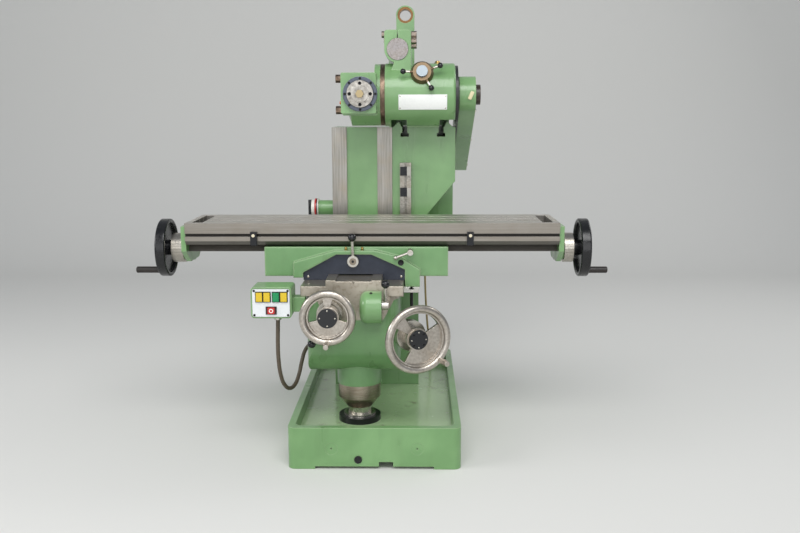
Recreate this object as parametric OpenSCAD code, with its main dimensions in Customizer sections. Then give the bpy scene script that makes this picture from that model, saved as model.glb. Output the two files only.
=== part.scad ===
// Knee-type milling machine with a swivelling head on a sliding ram, set with its spindle horizontal.
// Origin at the centre of the base's foot: X to the operator's right, Y to the back, Z up, millimetres.

/* [Base] */
// Width of the base casting
base_w = 625; // [600:5:680]
// Depth of the base casting
base_d = 1110; // [1080:5:1200]
// Height of the pan's rim
base_h = 155; // [145:1:175]
// Height of the pan's floor
pan_floor_h = 104; // [100:1:108]
// Thickness of the pan's rim wall
pan_wall = 26; // [18:1:32]
// Corner radius of the base in plan
base_corner_r = 28; // [20:1:40]
// Radius of the holding-down holes
foot_hole_r = 9; // [7:0.5:12]

/* [Column] */
// Height of the column's top face above the floor
column_top_z = 1209; // [1195:1:1230]
// Left side of the column, measured left of the base's centre
column_left = 201; // [196:1:210]
// Right side of the column's upper part, measured right of the base's centre
column_right = 313; // [300:1:316]
// Right side of the column's lower part, measured right of the base's centre
column_foot_right = 160; // [150:1:175]
// Distance from the base's front face to the knee ways
column_setback = 698; // [690:1:710]
// Depth of the column behind the knee ways
column_d = 357; // [340:1:365]
// Width of each knee way
way_w = 62; // [50:1:70]
// Overall width across both knee ways
way_span = 251; // [240:1:256]

/* [Knee] */
// Length of the knee in front of the ways
knee_l = 592; // [580:1:600]
// Height of the top of the knee's rail at rest
knee_top_z = 672; // [668:1:676]
// Height of the knee's underside at rest
knee_bottom_z = 305; // [296:1:312]
// Width of the knee's rail
knee_rail_w = 202; // [190:1:210]
// Height of the rail above the flange
knee_rail_h = 22; // [18:1:26]
// Thickness of the flange below the rail
knee_flange_h = 37; // [30:1:42]
// Radius of the rounded lower front of the knee
knee_nose_r = 150; // [120:1:165]
// Radius of the elevating post
lift_post_r = 43; // [38:1:46]
// Radius of the collar that turns under the knee
lift_collar_r = 80; // [74:1:82]

/* [Saddle] */
// Width of the saddle to the left of the knee's centre
saddle_left = 342; // [330:1:346]
// Width of the saddle to the right of the knee's centre
saddle_right = 345; // [335:1:360]
// Height of the saddle's top face at rest
saddle_top_z = 773; // [770:1:776]
// Height of the wings' underside at rest
saddle_wing_z = 663; // [661:1:668]
// Depth of the saddle, front to back
saddle_d = 297; // [285:1:300]

/* [Table] */
// Length of the table
table_l = 1400; // [1300:10:1500]
// Width of the table
table_w = 300; // [292:1:308]
// Height of the working face at rest
table_top_z = 862; // [855:1:868]
// Width of each T-slot's neck
slot_neck_w = 14; // [12:1:18]
// Width of each T-slot's foot
slot_foot_w = 25; // [22:1:28]
// Distance between T-slots
slot_pitch = 63; // [56:1:68]
// Radius of the table screw
table_screw_r = 15; // [12:0.5:17]
// Radius of the black table handwheels
table_wheel_r = 112.5; // [100:0.5:120]

/* [Front handwheels] */
// Radius of the cross handwheel
cross_wheel_r = 100; // [90:1:105]
// Radius of the vertical handwheel
lift_wheel_r = 125; // [115:1:130]
// Radius of the round rim section
wheel_rim_r = 13; // [10:0.5:15]
// Angle that the vertical handwheel is turned to the operator's right
lift_wheel_turn = 23; // [18:1:28]

/* [Ram and overarm] */
// Distance from the knee ways forward to the swivel axis
ram_reach = 78; // [74:1:84]
// Radius of the ram's front drum
drum_r = 124; // [120:0.5:126]
// Left end of the ram's drum
ram_left_x = 27; // [24:1:30]
// Right end of the ram's drum
ram_right_x = 316; // [314:1:317]
// Radius of the overarm bar
overarm_r = 42; // [36:0.5:44]
// Length of the overarm bar
overarm_l = 1010; // [960:5:1060]
// Height of the overarm bar above the swivel axis
overarm_rise = 175; // [170:1:182]

/* [Head] */
// Spindle axis, measured left of the ram's drum
spindle_offset = 91; // [88:1:94]
// Radius of the spindle nose
nose_r = 50.8; // [48:0.1:52]
// Bolt circle of the spindle nose
nose_pcd = 80; // [76:1:82]
// Distance from the swivel axis to the nose face
nose_reach = 220; // [212:1:226]
// Radius of the head's swivel drum
head_drum_r = 122; // [118:0.5:123.5]

/* [Control box] */
// Width of the push-button box
box_w = 145; // [140:1:150]
// Height of the push-button box
box_h = 112; // [106:1:113]
// Depth of the push-button box
box_d = 105; // [95:1:110]
// Travel of each push button
button_travel = 4; // [2:0.5:5]

/* [Fits] */
// Gap between sliding faces
slide_gap = 0.3; // [0.2:0.05:0.5]
// Radial gap between a shaft and its bore
shaft_gap = 0.1; // [0.05:0.05:0.2]
// Overrun of each cut past the face that it opens
overrun = 2; // [1:0.5:3]

/* [Hidden] */
$fn = 64;

// Base: feet, corner bosses, drain and the two plugged holes on its front
base_front_y = -base_d / 2;
foot_w = 98;
foot_relief_h = 10;
foot_relief_d = 90;
foot_boss_r = 34;
foot_boss_h = 132;
foot_inset_x = 48;
foot_inset_y = 52;
foot_hole_x = base_w / 2 - foot_inset_x;
foot_hole_y = base_d / 2 - foot_inset_y;
sump_wall = 40;
sump_rib = 60;
sump_end_wall = 105;
sump_roof_z = 76;
notch_x = 42;
notch_w = 51;
notch_h = 27;
drain_x = -58;
drain_z = 36;
drain_r = 14;
drain_l = 26;
drain_proud = 3;
spot_x = 155;
spot_z = 77;
spot_r = 23;
spot_depth = 0.6;
spot_hole_r = 3;
spot_hole_d = 8;

// Column: ways, shoulders and the ram ways on its top
way_y = base_front_y + column_setback;
way_proud = 6;
column_front_y = way_y + way_proud;
column_back_y = way_y + column_d;
way_foot_z = 340;
shoulder_y_offset = 250;
shoulder_y = way_y + shoulder_y_offset;
shoulder_top_z = 985;
shoulder_knee_x = 199;
shoulder_knee_z = 849;
shoulder_foot_z = 700;
shoulder_rear_z = 665;
column_wall = 26;
column_front_wall = 46;
column_roof = 86;
knee_x = -column_left + way_span / 2;
ram_way_x = 178;
ridge_pitch = 199;
ridge_h = 24;
ridge_out_w = 25;
ridge_in_w = 12;
top_slot_pitch = 151;
top_slot_neck_w = 20;
top_slot_foot_w = 34;
top_slot_neck_d = 24;
top_slot_foot_d = 15;

// Trip rail on the column and its dogs
trip_rail_x0 = 82;
trip_rail_x1 = 129;
trip_rail_y_offset = 22;
trip_rail_y = way_y - trip_rail_y_offset;
trip_rail_z0 = 690;
trip_rail_z1 = 1063;
trip_slot_x = 106;
trip_slot_neck_w = 8;
trip_slot_foot_w = 15;
trip_slot_neck_d = 6;
trip_slot_foot_d = 8;
trip_dog_w = 44;
trip_dog_h = 36;
trip_dog_t = 16;
trip_dog_upper_z = 1029;
trip_dog_lower_z = 942;
trip_dog_screw_r = 5;
trip_dog_y = trip_rail_y - slide_gap - trip_dog_t - trip_dog_screw_r;
rail_clear = 6;

// Isolator switch on the column's left side
isolator_y_offset = 100;
isolator_y = way_y + isolator_y_offset;
isolator_z = 865;
isolator_boss_r = 32;
isolator_boss_l = 69;
isolator_ring_r = 40;
isolator_ring_l = 16;
isolator_knob_r = 34;
isolator_knob_l = 14;
isolator_grip_w = 14;
isolator_grip_l = 15;
isolator_pin_r = 6;

// Elevating post on the pan's floor and the nut that turns under the knee
lift_x_offset = 9;
lift_x = knee_x + lift_x_offset;
lift_y_offset = 255;
lift_y = base_front_y + lift_y_offset;
lift_flange_r = 80;
lift_flange_h = 22;
lift_step_r = 60;
lift_step_h = 8;
lift_post_top_z = 588;
nut_cone_r = 48;
nut_cone_h = 40;
nut_collar_z = 200;
nut_boss_z = 254;
nut_shank_r = 58;
nut_gear_r = 74;
nut_gear_h = 20;
knee_boss_r = 84;

// Knee: body, flange, rail and the cavity behind its front wall
knee_front_y = way_y - knee_l;
knee_back_y = way_y - slide_gap;
knee_body_left = 174;
knee_body_right = 164;
knee_flange_left_w = 192;
knee_flange_right_w = 180;
knee_corner_r = 46;
knee_flange_z = knee_top_z - knee_rail_h;
knee_body_top_z = knee_flange_z - knee_flange_h;
rail_strip_w = 36;
rail_recess_d = 4;
knee_wall = 30;
knee_front_wall = 72;
knee_floor_z = knee_bottom_z + knee_wall;
knee_roof_z_offset = 40;
knee_roof_z = knee_top_z - knee_roof_z_offset;
rail_hole_z_offset = 9;
rail_hole_z = knee_top_z - rail_hole_z_offset;
rail_hole_r = 3;
rail_hole_d = 14;

// Stop rail beside the knee's flange
stop_rail_w = 57;
stop_rail_h = 22;
stop_rail_l = 420;
stop_rail_front_y_offset = 112;
stop_rail_front_y = knee_front_y + stop_rail_front_y_offset;
stop_slot_neck_w = 9;
stop_slot_foot_w = 17;
stop_slot_neck_d = 5;
stop_slot_foot_d = 5;
stop_rail_x0 = knee_x + knee_flange_right_w;
stop_rail_x1 = stop_rail_x0 + stop_rail_w;
stop_rail_z1_offset = 14;
stop_rail_z1 = knee_body_top_z + stop_rail_z1_offset;
stop_rod_r = 6;
stop_rod_length = 90;

// Feed gearbox drum on the knee's front
feed_y_offset = 16;
feed_y = knee_front_y - feed_y_offset;
feed_z = 577;
feed_r = 59;
feed_round_r = 28;
feed_x0_offset = 24;
feed_x0 = knee_x + feed_x0_offset;
feed_x1_offset = 103;
feed_x1 = knee_x + feed_x1_offset;
feed_hub_r = 16;
feed_hub_l = 24;
feed_hub_y_offset = 14;
feed_hub_y = feed_y - feed_hub_y_offset;
feed_hub_z_offset = 10;
feed_hub_z = feed_z + feed_hub_z_offset;
feed_pin_r = 7;
feed_pin_l = 30;
feed_ball_dx = 2;
feed_ball_dy = -22;
feed_ball_dz = 81;
lever_ball_r = 15;
lever_rod_r = 6;

// Feed lever low on the knee's left front
low_lever_x_offset = 114;
low_lever_x = knee_x - low_lever_x_offset;
low_lever_z = 475;
low_hub_r = 15;
low_hub_l = 22;
low_ball_dx = -38;
low_ball_dy = -10;
low_ball_dz = -33;

// Cross handwheel, its screw and dial
cross_x_offset = 85;
cross_x = knee_x - cross_x_offset;
cross_z = 558;
cross_rim_y_offset = 110;
cross_rim_y = knee_front_y - cross_rim_y_offset;
cross_screw_r = 12;
cross_screw_l = 430;
cross_dial_r = 46;
cross_dial_l = 40;
wheel_hub_r = 35;
wheel_hub_l = 62;
wheel_cap_l = 8;
wheel_web_t = 12;
wheel_web_back = 10;
wheel_window_gap = 9;
wheel_rim_bite = 4;
wheel_spoke_half = 15;
wheel_window_span = 90;
wheel_cap_screw_r = 3;
wheel_cap_screw_share = 0.78;
grip_pin_r = 5;
grip_l = 62;
grip_neck_r = 8;
grip_belly_r = 12;
grip_end_r = 9;
grip_belly_share = 0.62;
cross_solid_angle = -90;

// Vertical handwheel, its shaft, dial and boss
lift_wheel_x_offset = 233;
lift_wheel_x = knee_x + lift_wheel_x_offset;
lift_wheel_y_offset = 80;
lift_wheel_y = knee_front_y - lift_wheel_y_offset;
lift_wheel_z = 474;
lift_shaft_r = 14;
lift_shaft_l = 260;
lift_dial_r = 56;
lift_boss_r = 46;
lift_boss_from = 92;
lift_boss_l = 150;
lift_gear_r = 34;
lift_gear_l = 24;
lift_solid_angle = -45;

// Push-button box on its arm
box_x_offset = 289;
box_x = knee_x - box_x_offset;
box_top_z_offset = 5;
box_top_z = saddle_wing_z - box_top_z_offset;
box_z = box_top_z - box_h / 2;
box_front_y_offset = 60;
box_front_y = knee_front_y - box_front_y_offset;
box_back_y = box_front_y + box_d;
box_corner_r = 12;
box_wall = 5;
panel_t = 3;
panel_margin = 6;
panel_screw_r = 3.5;
panel_screw_inset = 13;
button_w = 22;
button_h = 32;
button_stand = 1;
button_proud = button_travel + button_stand;
button_l = 22;
button_x_shares = [-0.286, -0.097, 0.124, 0.317];
button_rise = 22;
stop_w = 33;
stop_h = 23;
stop_drop = 27;
stop_x_share = 0.003;
frame_t = 2;
frame_rim = 3;
arm_z0 = 560;
arm_z1 = knee_body_top_z;
arm_y0_offset = 60;
arm_y0 = box_back_y - arm_y0_offset;
arm_y1_offset = 8;
arm_y1 = box_back_y - arm_y1_offset;
arm_bolt_r = 8;
arm_bolt_h = 6;
arm_knob_r = 8;

// Flexible conduit from the box's underside to the knee's left side, and its glands
conduit_r = 7.5;
conduit_gland_r = 13;
conduit_gland_l = 16;
conduit_route = [[-350, -455, 530], [-351, -455, 500], [-353, -453, 440], [-353, -446, 375],
    [-349, -430, 315], [-340, -405, 270], [-326, -370, 245], [-311, -330, 248],
    [-299, -297, 280], [-290, -274, 325], [-278, -256, 364], [-262, -246, 384]];
conduit_side = [0.9, -0.436, 0];
conduit_rings_per_step = 2;
cord_sides = 10;

// Thin cable behind the column's foot, and its glands
cable_r = 4.5;
cable_gland_r = 10;
cable_route = [[190, 412, 649], [190, 412, 600], [190, 412, 544], [191, 412, 500], [194, 412, 420], [199,
    412, 340],
    [206, 412, 260], [212, 412, 190], [214, 412, 120]];
cable_side = [0, 1, 0];

// Saddle: apron, arch and the dovetail that carries the table
saddle_front_y_offset = 142;
saddle_front_y = knee_front_y + saddle_front_y_offset;
saddle_back_y = saddle_front_y + saddle_d;
saddle_x0 = knee_x - saddle_left;
saddle_x1 = knee_x + saddle_right;
apron_t = 25;
apron_y = saddle_front_y - apron_t;
arch_top_z_offset = 25;
arch_top_z = saddle_top_z - arch_top_z_offset;
arch_left_z_offset = 93;
arch_left_z = saddle_top_z - arch_left_z_offset;
arch_right_z_offset = 81;
arch_right_z = saddle_top_z - arch_right_z_offset;
apron_top_z_offset = 10;
apron_top_z = saddle_top_z - apron_top_z_offset;
apron_left_z_offset = 55;
apron_left_z = saddle_top_z - apron_left_z_offset;
apron_right_z_offset = 32;
apron_right_z = saddle_top_z - apron_right_z_offset;
apron_end_z_offset = 82;
apron_end_z = saddle_top_z - apron_end_z_offset;
arch_top_left = 71;
arch_top_right = 59;
apron_top_left = 74;
apron_top_right = 71;
apron_bend_right = 159;
leg_left_w = 36;
leg_right_w = 56;
leg_gap = 4;
leg_left_z_offset = 2;
leg_left_z = saddle_wing_z - leg_left_z_offset;
wiper_t = 12;
leg_left_x = knee_x - knee_flange_left_w - leg_gap;
leg_right_x = knee_x + knee_flange_right_w + leg_gap;
oil_hole_x_offset = 169;
oil_hole_x = knee_x + oil_hole_x_offset;
oil_hole_z = 718;
oil_hole_r = 8;
oil_hole_d = 10;
nut_block_l = 90;

// Levers on the saddle's front
table_lever_x_offset = 8;
table_lever_x = knee_x - table_lever_x_offset;
table_lever_z = 725;
table_lever_hub_r = 21;
table_lever_hub_l = 34;
table_lever_pin_r = 8;
table_lever_pin_l = 30;
table_ball_dx = -2;
table_ball_dy = -18;
table_ball_dz = 90;
clamp_lever_x_offset = 204;
clamp_lever_x = knee_x + clamp_lever_x_offset;
clamp_lever_z = 758;
clamp_hub_r = 11;
clamp_hub_l = 48;
clamp_pin_r = 6;
clamp_pin_l = 24;
clamp_end_dx = -54;
clamp_end_dz = -20;
clamp_rod_r = 5;
clamp_end_r = 8;

// Table: section, slots, end pockets, brackets and stops
table_x_offset = 60;
table_x = knee_x + table_x_offset;
table_y = saddle_front_y + table_w / 2;
table_x0 = table_x - table_l / 2;
table_x1 = table_x + table_l / 2;
table_edge_z_offset = 67;
table_edge_z = table_top_z - table_edge_z_offset;
table_under_z_offset = 82;
table_under_z = table_top_z - table_under_z_offset;
table_dove_z_offset = 24;
table_dove_z = saddle_top_z - table_dove_z_offset;
dove_half_w = 96;
dove_neck_half_w = 78;
table_chamfer = 15;
dog_groove_z0_offset = 50;
dog_groove_z0 = table_top_z - dog_groove_z0_offset;
dog_groove_h = 11;
dog_groove_d = 10;
slot_neck_d = 24;
slot_foot_d = 11;
pocket_inset = 22;
pocket_l = 40;
pocket_half_w = 122;
pocket_d = 26;
screw_z = 750;
screw_channel_w = 46;
screw_channel_roof_z_offset = 22;
screw_channel_roof_z = screw_z + screw_channel_roof_z_offset;
screw_channel_floor_z_offset = 22;
screw_channel_floor_z = screw_z - screw_channel_floor_z_offset;
bracket_t = 19;
bracket_half_w = 134;
bracket_top_drop = 14;
bracket_foot_z_offset = 20;
bracket_foot_z = saddle_top_z - bracket_foot_z_offset;
bracket_boss_r = 48;
bracket_boss_l = 34;
bracket_foot_half_w = 62;
bracket_foot_low_z = 705;
dog_left_x_offset = 440;
dog_left_x = table_x - dog_left_x_offset;
dog_right_x_offset = 367;
dog_right_x = table_x + dog_right_x_offset;
dog_w = 24;
dog_h = 50;
dog_drop = 12;
dog_t = 14;
dog_tongue_d = 7;
dog_screw_r = 6;
dog_screw_l = 4;

// Table screw, dials and black handwheels
table_dial_r = 57;
table_dial_left_l = 46;
table_dial_right_l = 36;
table_wheel_left_gap = 29.5;
table_wheel_right_gap = 39;
table_rim_w = 38;
table_rim_t = 16;
table_rim_round = 6;
table_hub_r = 30;
table_web_t = 12;
table_nut_r = 17;
table_nut_l = 12;
table_grip_r = 12.5;
table_grip_left_l = 88;
table_grip_right_l = 70;
table_grip_chamfer = 3;
table_grip_orbit = 95;
table_grip_angle = 237;
bracket_left_x = table_x0 - bracket_boss_l;
bracket_right_x = table_x1 + bracket_boss_l;
dial_left_x = bracket_left_x - table_dial_left_l - slide_gap;
dial_right_x = bracket_right_x + table_dial_right_l + slide_gap;
wheel_left_x = dial_left_x - table_wheel_left_gap;
wheel_right_x = dial_right_x + table_wheel_right_gap;

// Ram: drum, body over the column, overarm clamp and star handle
swivel_y = way_y - ram_reach;
swivel_z_offset = 5;
swivel_z = column_top_z + drum_r + swivel_z_offset;
ram_foot_z = column_top_z + slide_gap;
ram_body_x0_offset = 14;
ram_body_x0 = ram_left_x + ram_body_x0_offset;
drum_neck_l = 11;
drum_right_x = ram_right_x - drum_neck_l;
drum_round_r = 9;
ram_body_x1_offset = 16;
ram_body_x1 = ram_right_x - ram_body_x1_offset;
ram_body_back_y_offset = 500;
ram_body_back_y = swivel_y + ram_body_back_y_offset;
ram_body_top_z_offset = 96;
ram_body_top_z = swivel_z + ram_body_top_z_offset;
channel_out = 4;
channel_roof_z_offset = 6;
channel_roof_z = column_top_z + ridge_h + channel_roof_z_offset;
overarm_x_offset = 50;
overarm_x = ram_left_x + overarm_x_offset;
overarm_z = swivel_z + overarm_rise;
clamp_x0_offset = 2;
clamp_x0 = ram_left_x - clamp_x0_offset;
clamp_x1_offset = 105;
clamp_x1 = clamp_x0 + clamp_x1_offset;
clamp_top_z_offset = 74;
clamp_top_z = overarm_z + clamp_top_z_offset;
clamp_front_y_offset = 80;
clamp_front_y = swivel_y - clamp_front_y_offset;
clamp_back_y_offset = 235;
clamp_back_y = swivel_y + clamp_back_y_offset;
clamp_slit_w = 4;
clamp_corner_r = 12;
clamp_bolt_r = 11;
clamp_bolt_head_r = 13;
clamp_bolt_head_l = 22;
clamp_bolt_z_offset = 58;
clamp_bolt_z = overarm_z + clamp_bolt_z_offset;
clamp_bolt_low_z_offset = 32;
clamp_bolt_low_z = overarm_z + clamp_bolt_low_z_offset;
clamp_bolt_inset = 30;
clamp_bolt_ys = [clamp_front_y + clamp_bolt_inset, clamp_back_y - clamp_bolt_inset];
overarm_front_y_offset = 3;
overarm_front_y = clamp_front_y - overarm_front_y_offset;
star_x_offset = 146;
star_x = ram_left_x + star_x_offset;
star_rise = 37;
star_droop = 25;
star_hub_r = 45;
star_hub_l = 20;
star_cap_r = 22;
star_cap_l = 10;
star_pin_r = 14;
star_pin_l = 60;
star_arm_l = 74;
star_arm_r = 5;
star_ball_r = 11;
star_arm_angles = [180, 18, -61];
plate_w = 190;
plate_h = 58;
plate_t = 2;
plate_x_offset = 149;
plate_x = ram_left_x + plate_x_offset;
plate_z_offset = 30;
plate_z = swivel_z - plate_z_offset;

// Arbor support at the overarm's rear end
support_y0_offset = 900;
support_y0 = overarm_front_y + support_y0_offset;
support_l = 62;
support_hub_r = 62;
support_eye_r = 45;
support_bush_r = 38;
support_bore_r = 27.5;
support_reach = norm([spindle_offset + overarm_x - ram_left_x, overarm_rise]);
support_lean = 5;
support_arm_w = 88;
support_eye = [overarm_x + support_reach * sin(support_lean),
    overarm_z + support_reach * cos(support_lean)];

// Head: swivel drum, spindle housing, cap and bolts
swivel_ring_l = 18;
head_x1 = ram_left_x - slide_gap;
head_drum_x1 = head_x1 - swivel_ring_l;
head_drum_x0_offset = 135;
head_drum_x0 = ram_left_x - head_drum_x0_offset;
head_cone_l = 12;
head_cone_r = 85;
head_flange_l = 23;
head_block_x0_offset = 166;
head_block_x0 = ram_left_x - head_block_x0_offset;
head_block_x1_offset = 31;
head_block_x1 = ram_left_x - head_block_x1_offset;
head_block_up = 81;
head_block_down = 74;
head_heel_down = 81;
head_heel_reach = 120;
head_block_front = 190;
head_block_back = 100;
head_corner_r = 6;
spindle_x = ram_left_x - spindle_offset;
cap_r = 66;
cap_l = 15;
cap_bore_r_offset = 0.4;
cap_bore_r = nose_r + shaft_gap + cap_bore_r_offset;
spindle_r = 40;
spindle_tail = 92;
nose_l = 15;
nose_step = 0.8;
nose_hole_r = 6;
nose_hole_d = 14;
nose_plug_r = 33;
nose_plug_l = 5;
nose_nut_r = 16;
nose_nut_l = 16;
bevel_far = 56;
bevel_near = 42;
bevel_gap = 0.6;
gear_room = 4;
head_bolt_r = 16;
head_bolt_l = 26;
head_bolt_rise = 61;
head_bolt_drop = 60;
head_bolt_zs = [swivel_z + head_bolt_rise, swivel_z - head_bolt_drop];
head_bolt_y_offset = 105;
head_bolt_y = swivel_y - head_bolt_y_offset;
bearing_l = 24;
bearing_r = 54;

// Drive: shaft on the swivel axis, belt, guard and motor
shaft_r = 18;
guard_gap = 6;
guard_x0 = ram_right_x + guard_gap;
guard_x1_offset = 65;
guard_x1 = guard_x0 + guard_x1_offset;
guard_r = 72;
guard_wall = 4;
motor_y_offset = 615;
motor_y = swivel_y + motor_y_offset;
motor_z_offset = 268;
motor_z = swivel_z - motor_z_offset;
belt_run = norm([motor_y - swivel_y, motor_z - swivel_z]);
belt_tilt = atan2(motor_z - swivel_z, motor_y - swivel_y);
pulley_r = 52;
pulley_l = 40;
belt_t = 8;
belt_w = 24;
motor_r = 94;
motor_l = 196;
motor_shaft_r = 14;
motor_flange_l = 12;
motor_fin_count = 20;
motor_fin_w = 5;
motor_fin_h = 7;
guard_disc_r = 40;
guard_disc_l = 20;

// Shares and small walls of the ram, head and star handle
head_wall = 6;
clamp_neck = 38;
clamp_neck_share = 0.55;
star_boss_l = 13.5;
star_boss_step = 4;
channel_end_wall = 12;
star_cone_share = 0.8;

// Rectangle with rounded corners, centred
module round_rect(w, d, r) {
    square([w - 2 * r, d], center = true);
    square([w, d - 2 * r], center = true);
    for (sx = [-1, 1], sy = [-1, 1]) translate([sx * (w / 2 - r), sy * (d / 2 - r)]) circle(r);
}

// Block between two corners
module block(x0, x1, y0, y1, z0, z1) {
    translate([x0, y0, z0]) cube([x1 - x0, y1 - y0, z1 - z0]);
}

// Outline of Y and Z carried from x0 to x1
module extrude_x(x0, x1) {
    translate([x0, 0, 0]) rotate([90, 0, 90]) linear_extrude(x1 - x0) children();
}

// Outline of X and Z carried from y0 to y1
module extrude_y(y0, y1) {
    translate([0, y1, 0]) rotate([90, 0, 0]) linear_extrude(y1 - y0) children();
}

// Round bars along each axis
module rod_x(x0, x1, y, z, r) {
    translate([x0, y, z]) rotate([0, 90, 0]) cylinder(h = x1 - x0, r = r);
}

module rod_y(y0, y1, x, z, r) {
    translate([x, y1, z]) rotate([90, 0, 0]) cylinder(h = y1 - y0, r = r);
}

module rod_z(z0, z1, x, y, r) {
    translate([x, y, z0]) cylinder(h = z1 - z0, r = r);
}

// Six-sided bolt head along X
module hex_x(x0, x1, y, z, r) {
    translate([x0, y, z]) rotate([0, 90, 0]) cylinder(h = x1 - x0, r = r, $fn = 6);
}

// Round bar between two points
module bar_between(a, b, r) {
    run = b - a;
    turn = atan2(run[1], run[0]);
    tilt = atan2(norm([run[0], run[1]]), run[2]);
    translate(a) rotate([0, tilt, turn]) cylinder(h = norm(run), r = r);
}

// Straight lever with a ball on its end
module ball_lever(a, b, rod_r, ball_r) {
    run = b - a;
    turn = atan2(run[1], run[0]);
    tilt = atan2(norm([run[0], run[1]]), run[2]);
    translate(a) rotate([0, tilt, turn]) {
        cylinder(h = norm(run), r = rod_r);
        translate([0, 0, norm(run)]) sphere(ball_r);
    }
}

// Tube swept along a route by rings that keep one side vector
function unit(v) = v / norm(v);
function along(p, i, t) = let(n = len(p) - 1, a = p[max(i - 1, 0)], b = p[i], c = p[min(i + 1, n)],
    d = p[min(i + 2, n)]) 0.5 * ((2 * b) + (c - a) * t + (2 * a - 5 * b + 4 * c - d) * t * t
    + (3 * b - a - 3 * c + d) * t * t * t);
function smooth_route(p, steps) = [for (i = [0 : len(p) - 2], s = [0 : steps - 1]) along(p, i,
    s / steps), p[len(p) - 1]];
function heading(p, i) = unit(p[min(i + 1, len(p) - 1)] - p[max(i - 1, 0)]);
function ring(p, i, r, side) = let(t = heading(p, i), u = unit(cross(t, side)), v = cross(t, u))
    [for (k = [0 : cord_sides - 1]) p[i] + r * (cos(360 * k / cord_sides) * u + sin(360 * k / cord_sides) * v)];

module cord(route, r, side) {
    p = smooth_route(route, conduit_rings_per_step);
    n = len(p);
    m = cord_sides;
    points = [for (i = [0 : n - 1]) each ring(p, i, r, side)];
    walls = [for (i = [0 : n - 2], k = [0 : m - 1]) each
        [[i * m + k, i * m + (k + 1) % m, (i + 1) * m + k],
        [i * m + (k + 1) % m, (i + 1) * m + (k + 1) % m, (i + 1) * m + k]]];
    start_cap = [for (k = [1 : m - 2]) [0, k + 1, k]];
    end_cap = [for (k = [1 : m - 2]) [(n - 1) * m, (n - 1) * m + k, (n - 1) * m + k + 1]];
    polyhedron(points, concat(walls, start_cap, end_cap), convexity = 10);
}

// Slot that runs from the top of a face: a narrow neck over a wider foot, as an outline
module tee(neck_w, neck_d, foot_w, foot_d) {
    translate([-neck_w / 2, -neck_d]) square([neck_w, neck_d + overrun]);
    translate([-foot_w / 2, -neck_d - foot_d]) square([foot_w, foot_d]);
}

// Ring sector as an outline
module sector(r0, r1, from, span) {
    reach = r1 / cos(span / 4);
    intersection() {
        difference() {
            circle(r1);
            circle(r0);
        }
        polygon([[0, 0], for (k = [0 : 2]) reach * [cos(from + span * k / 2), sin(from + span * k / 2)]]);
    }
}

// Base casting: chip pan on four feet, with holding-down holes in its corners
module base() {
    color("#7FA469") difference() {
        union() {
            difference() {
                linear_extrude(base_h) round_rect(base_w, base_d, base_corner_r);
                translate([0, 0, pan_floor_h]) linear_extrude(base_h)
                    round_rect(base_w - 2 * pan_wall, base_d - 2 * pan_wall, base_corner_r);
            }
            for (sx = [-1, 1], sy = [-1, 1])
                rod_z(foot_relief_h, foot_boss_h, sx * foot_hole_x, sy * foot_hole_y, foot_boss_r);
        }
        for (sx = [-1, 1], sy = [-1, 1])
            rod_z(-overrun, foot_boss_h + overrun, sx * foot_hole_x, sy * foot_hole_y, foot_hole_r);
        for (side = [0, 1]) mirror([0, side, 0]) {
            block(-base_w / 2 + foot_w, base_w / 2 - foot_w, base_front_y - overrun,
                base_front_y + foot_relief_d, -overrun, foot_relief_h);
            block(-base_w / 2 + sump_wall, base_w / 2 - sump_wall, base_front_y + sump_end_wall,
                -sump_rib, -overrun, sump_roof_z);
        }
        block(notch_x - notch_w / 2, notch_x + notch_w / 2, base_front_y - overrun,
            base_front_y + foot_relief_d, -overrun, notch_h);
        rod_y(base_front_y - overrun, base_front_y + drain_l, drain_x, drain_z, drain_r);
        for (sx = [-1, 1]) {
            rod_y(base_front_y - overrun, base_front_y + spot_depth, sx * spot_x, spot_z, spot_r);
            rod_y(base_front_y - overrun, base_front_y + spot_hole_d, sx * spot_x, spot_z, spot_hole_r);
        }
    }
}

// Drain plug in the base's front
module drain_plug() {
    color("#1C1C1C") rod_y(base_front_y - drain_proud, base_front_y + drain_l, drain_x, drain_z, drain_r);
}

// Column casting with the ram's ridges and T-slots on its top
module column() {
    color("#6F9A62") difference() {
        union() {
            block(-column_left, column_foot_right, column_front_y, column_back_y, pan_floor_h,
                column_top_z);
            extrude_y(column_front_y, shoulder_y) polygon([[0, column_top_z], [column_right, column_top_z],
                [column_right, shoulder_top_z], [shoulder_knee_x, shoulder_knee_z],
                [column_foot_right, shoulder_foot_z], [0, shoulder_foot_z]]);
            block(0, column_right, shoulder_y, column_back_y, shoulder_rear_z, column_top_z);
            for (side = [0, 1]) translate([ram_way_x, 0, 0]) mirror([side, 0, 0])
                extrude_y(column_front_y, column_back_y) polygon([
                    [-ridge_pitch / 2 - ridge_out_w, column_top_z], [-ridge_pitch / 2,
                    column_top_z + ridge_h],
                    [-ridge_pitch / 2 + ridge_in_w, column_top_z]]);
        }
        for (side = [-1, 1]) extrude_y(column_front_y - overrun, column_back_y - column_wall)
            translate([ram_way_x + side * top_slot_pitch / 2, column_top_z])
            tee(top_slot_neck_w, top_slot_neck_d, top_slot_foot_w, top_slot_foot_d);
        block(-column_left + column_wall, column_foot_right - column_wall,
            column_front_y + column_front_wall,
            column_back_y - column_wall, pan_floor_h - overrun, column_top_z - column_roof);
    }
}

// Ground ways that the knee slides on
module column_ways() {
    color("#A9A49A") for (side = [-1, 1])
        translate([knee_x + side * (way_span - way_w) / 2 - way_w / 2, way_y, way_foot_z])
        cube([way_w, way_proud, column_top_z - way_foot_z]);
}

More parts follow.
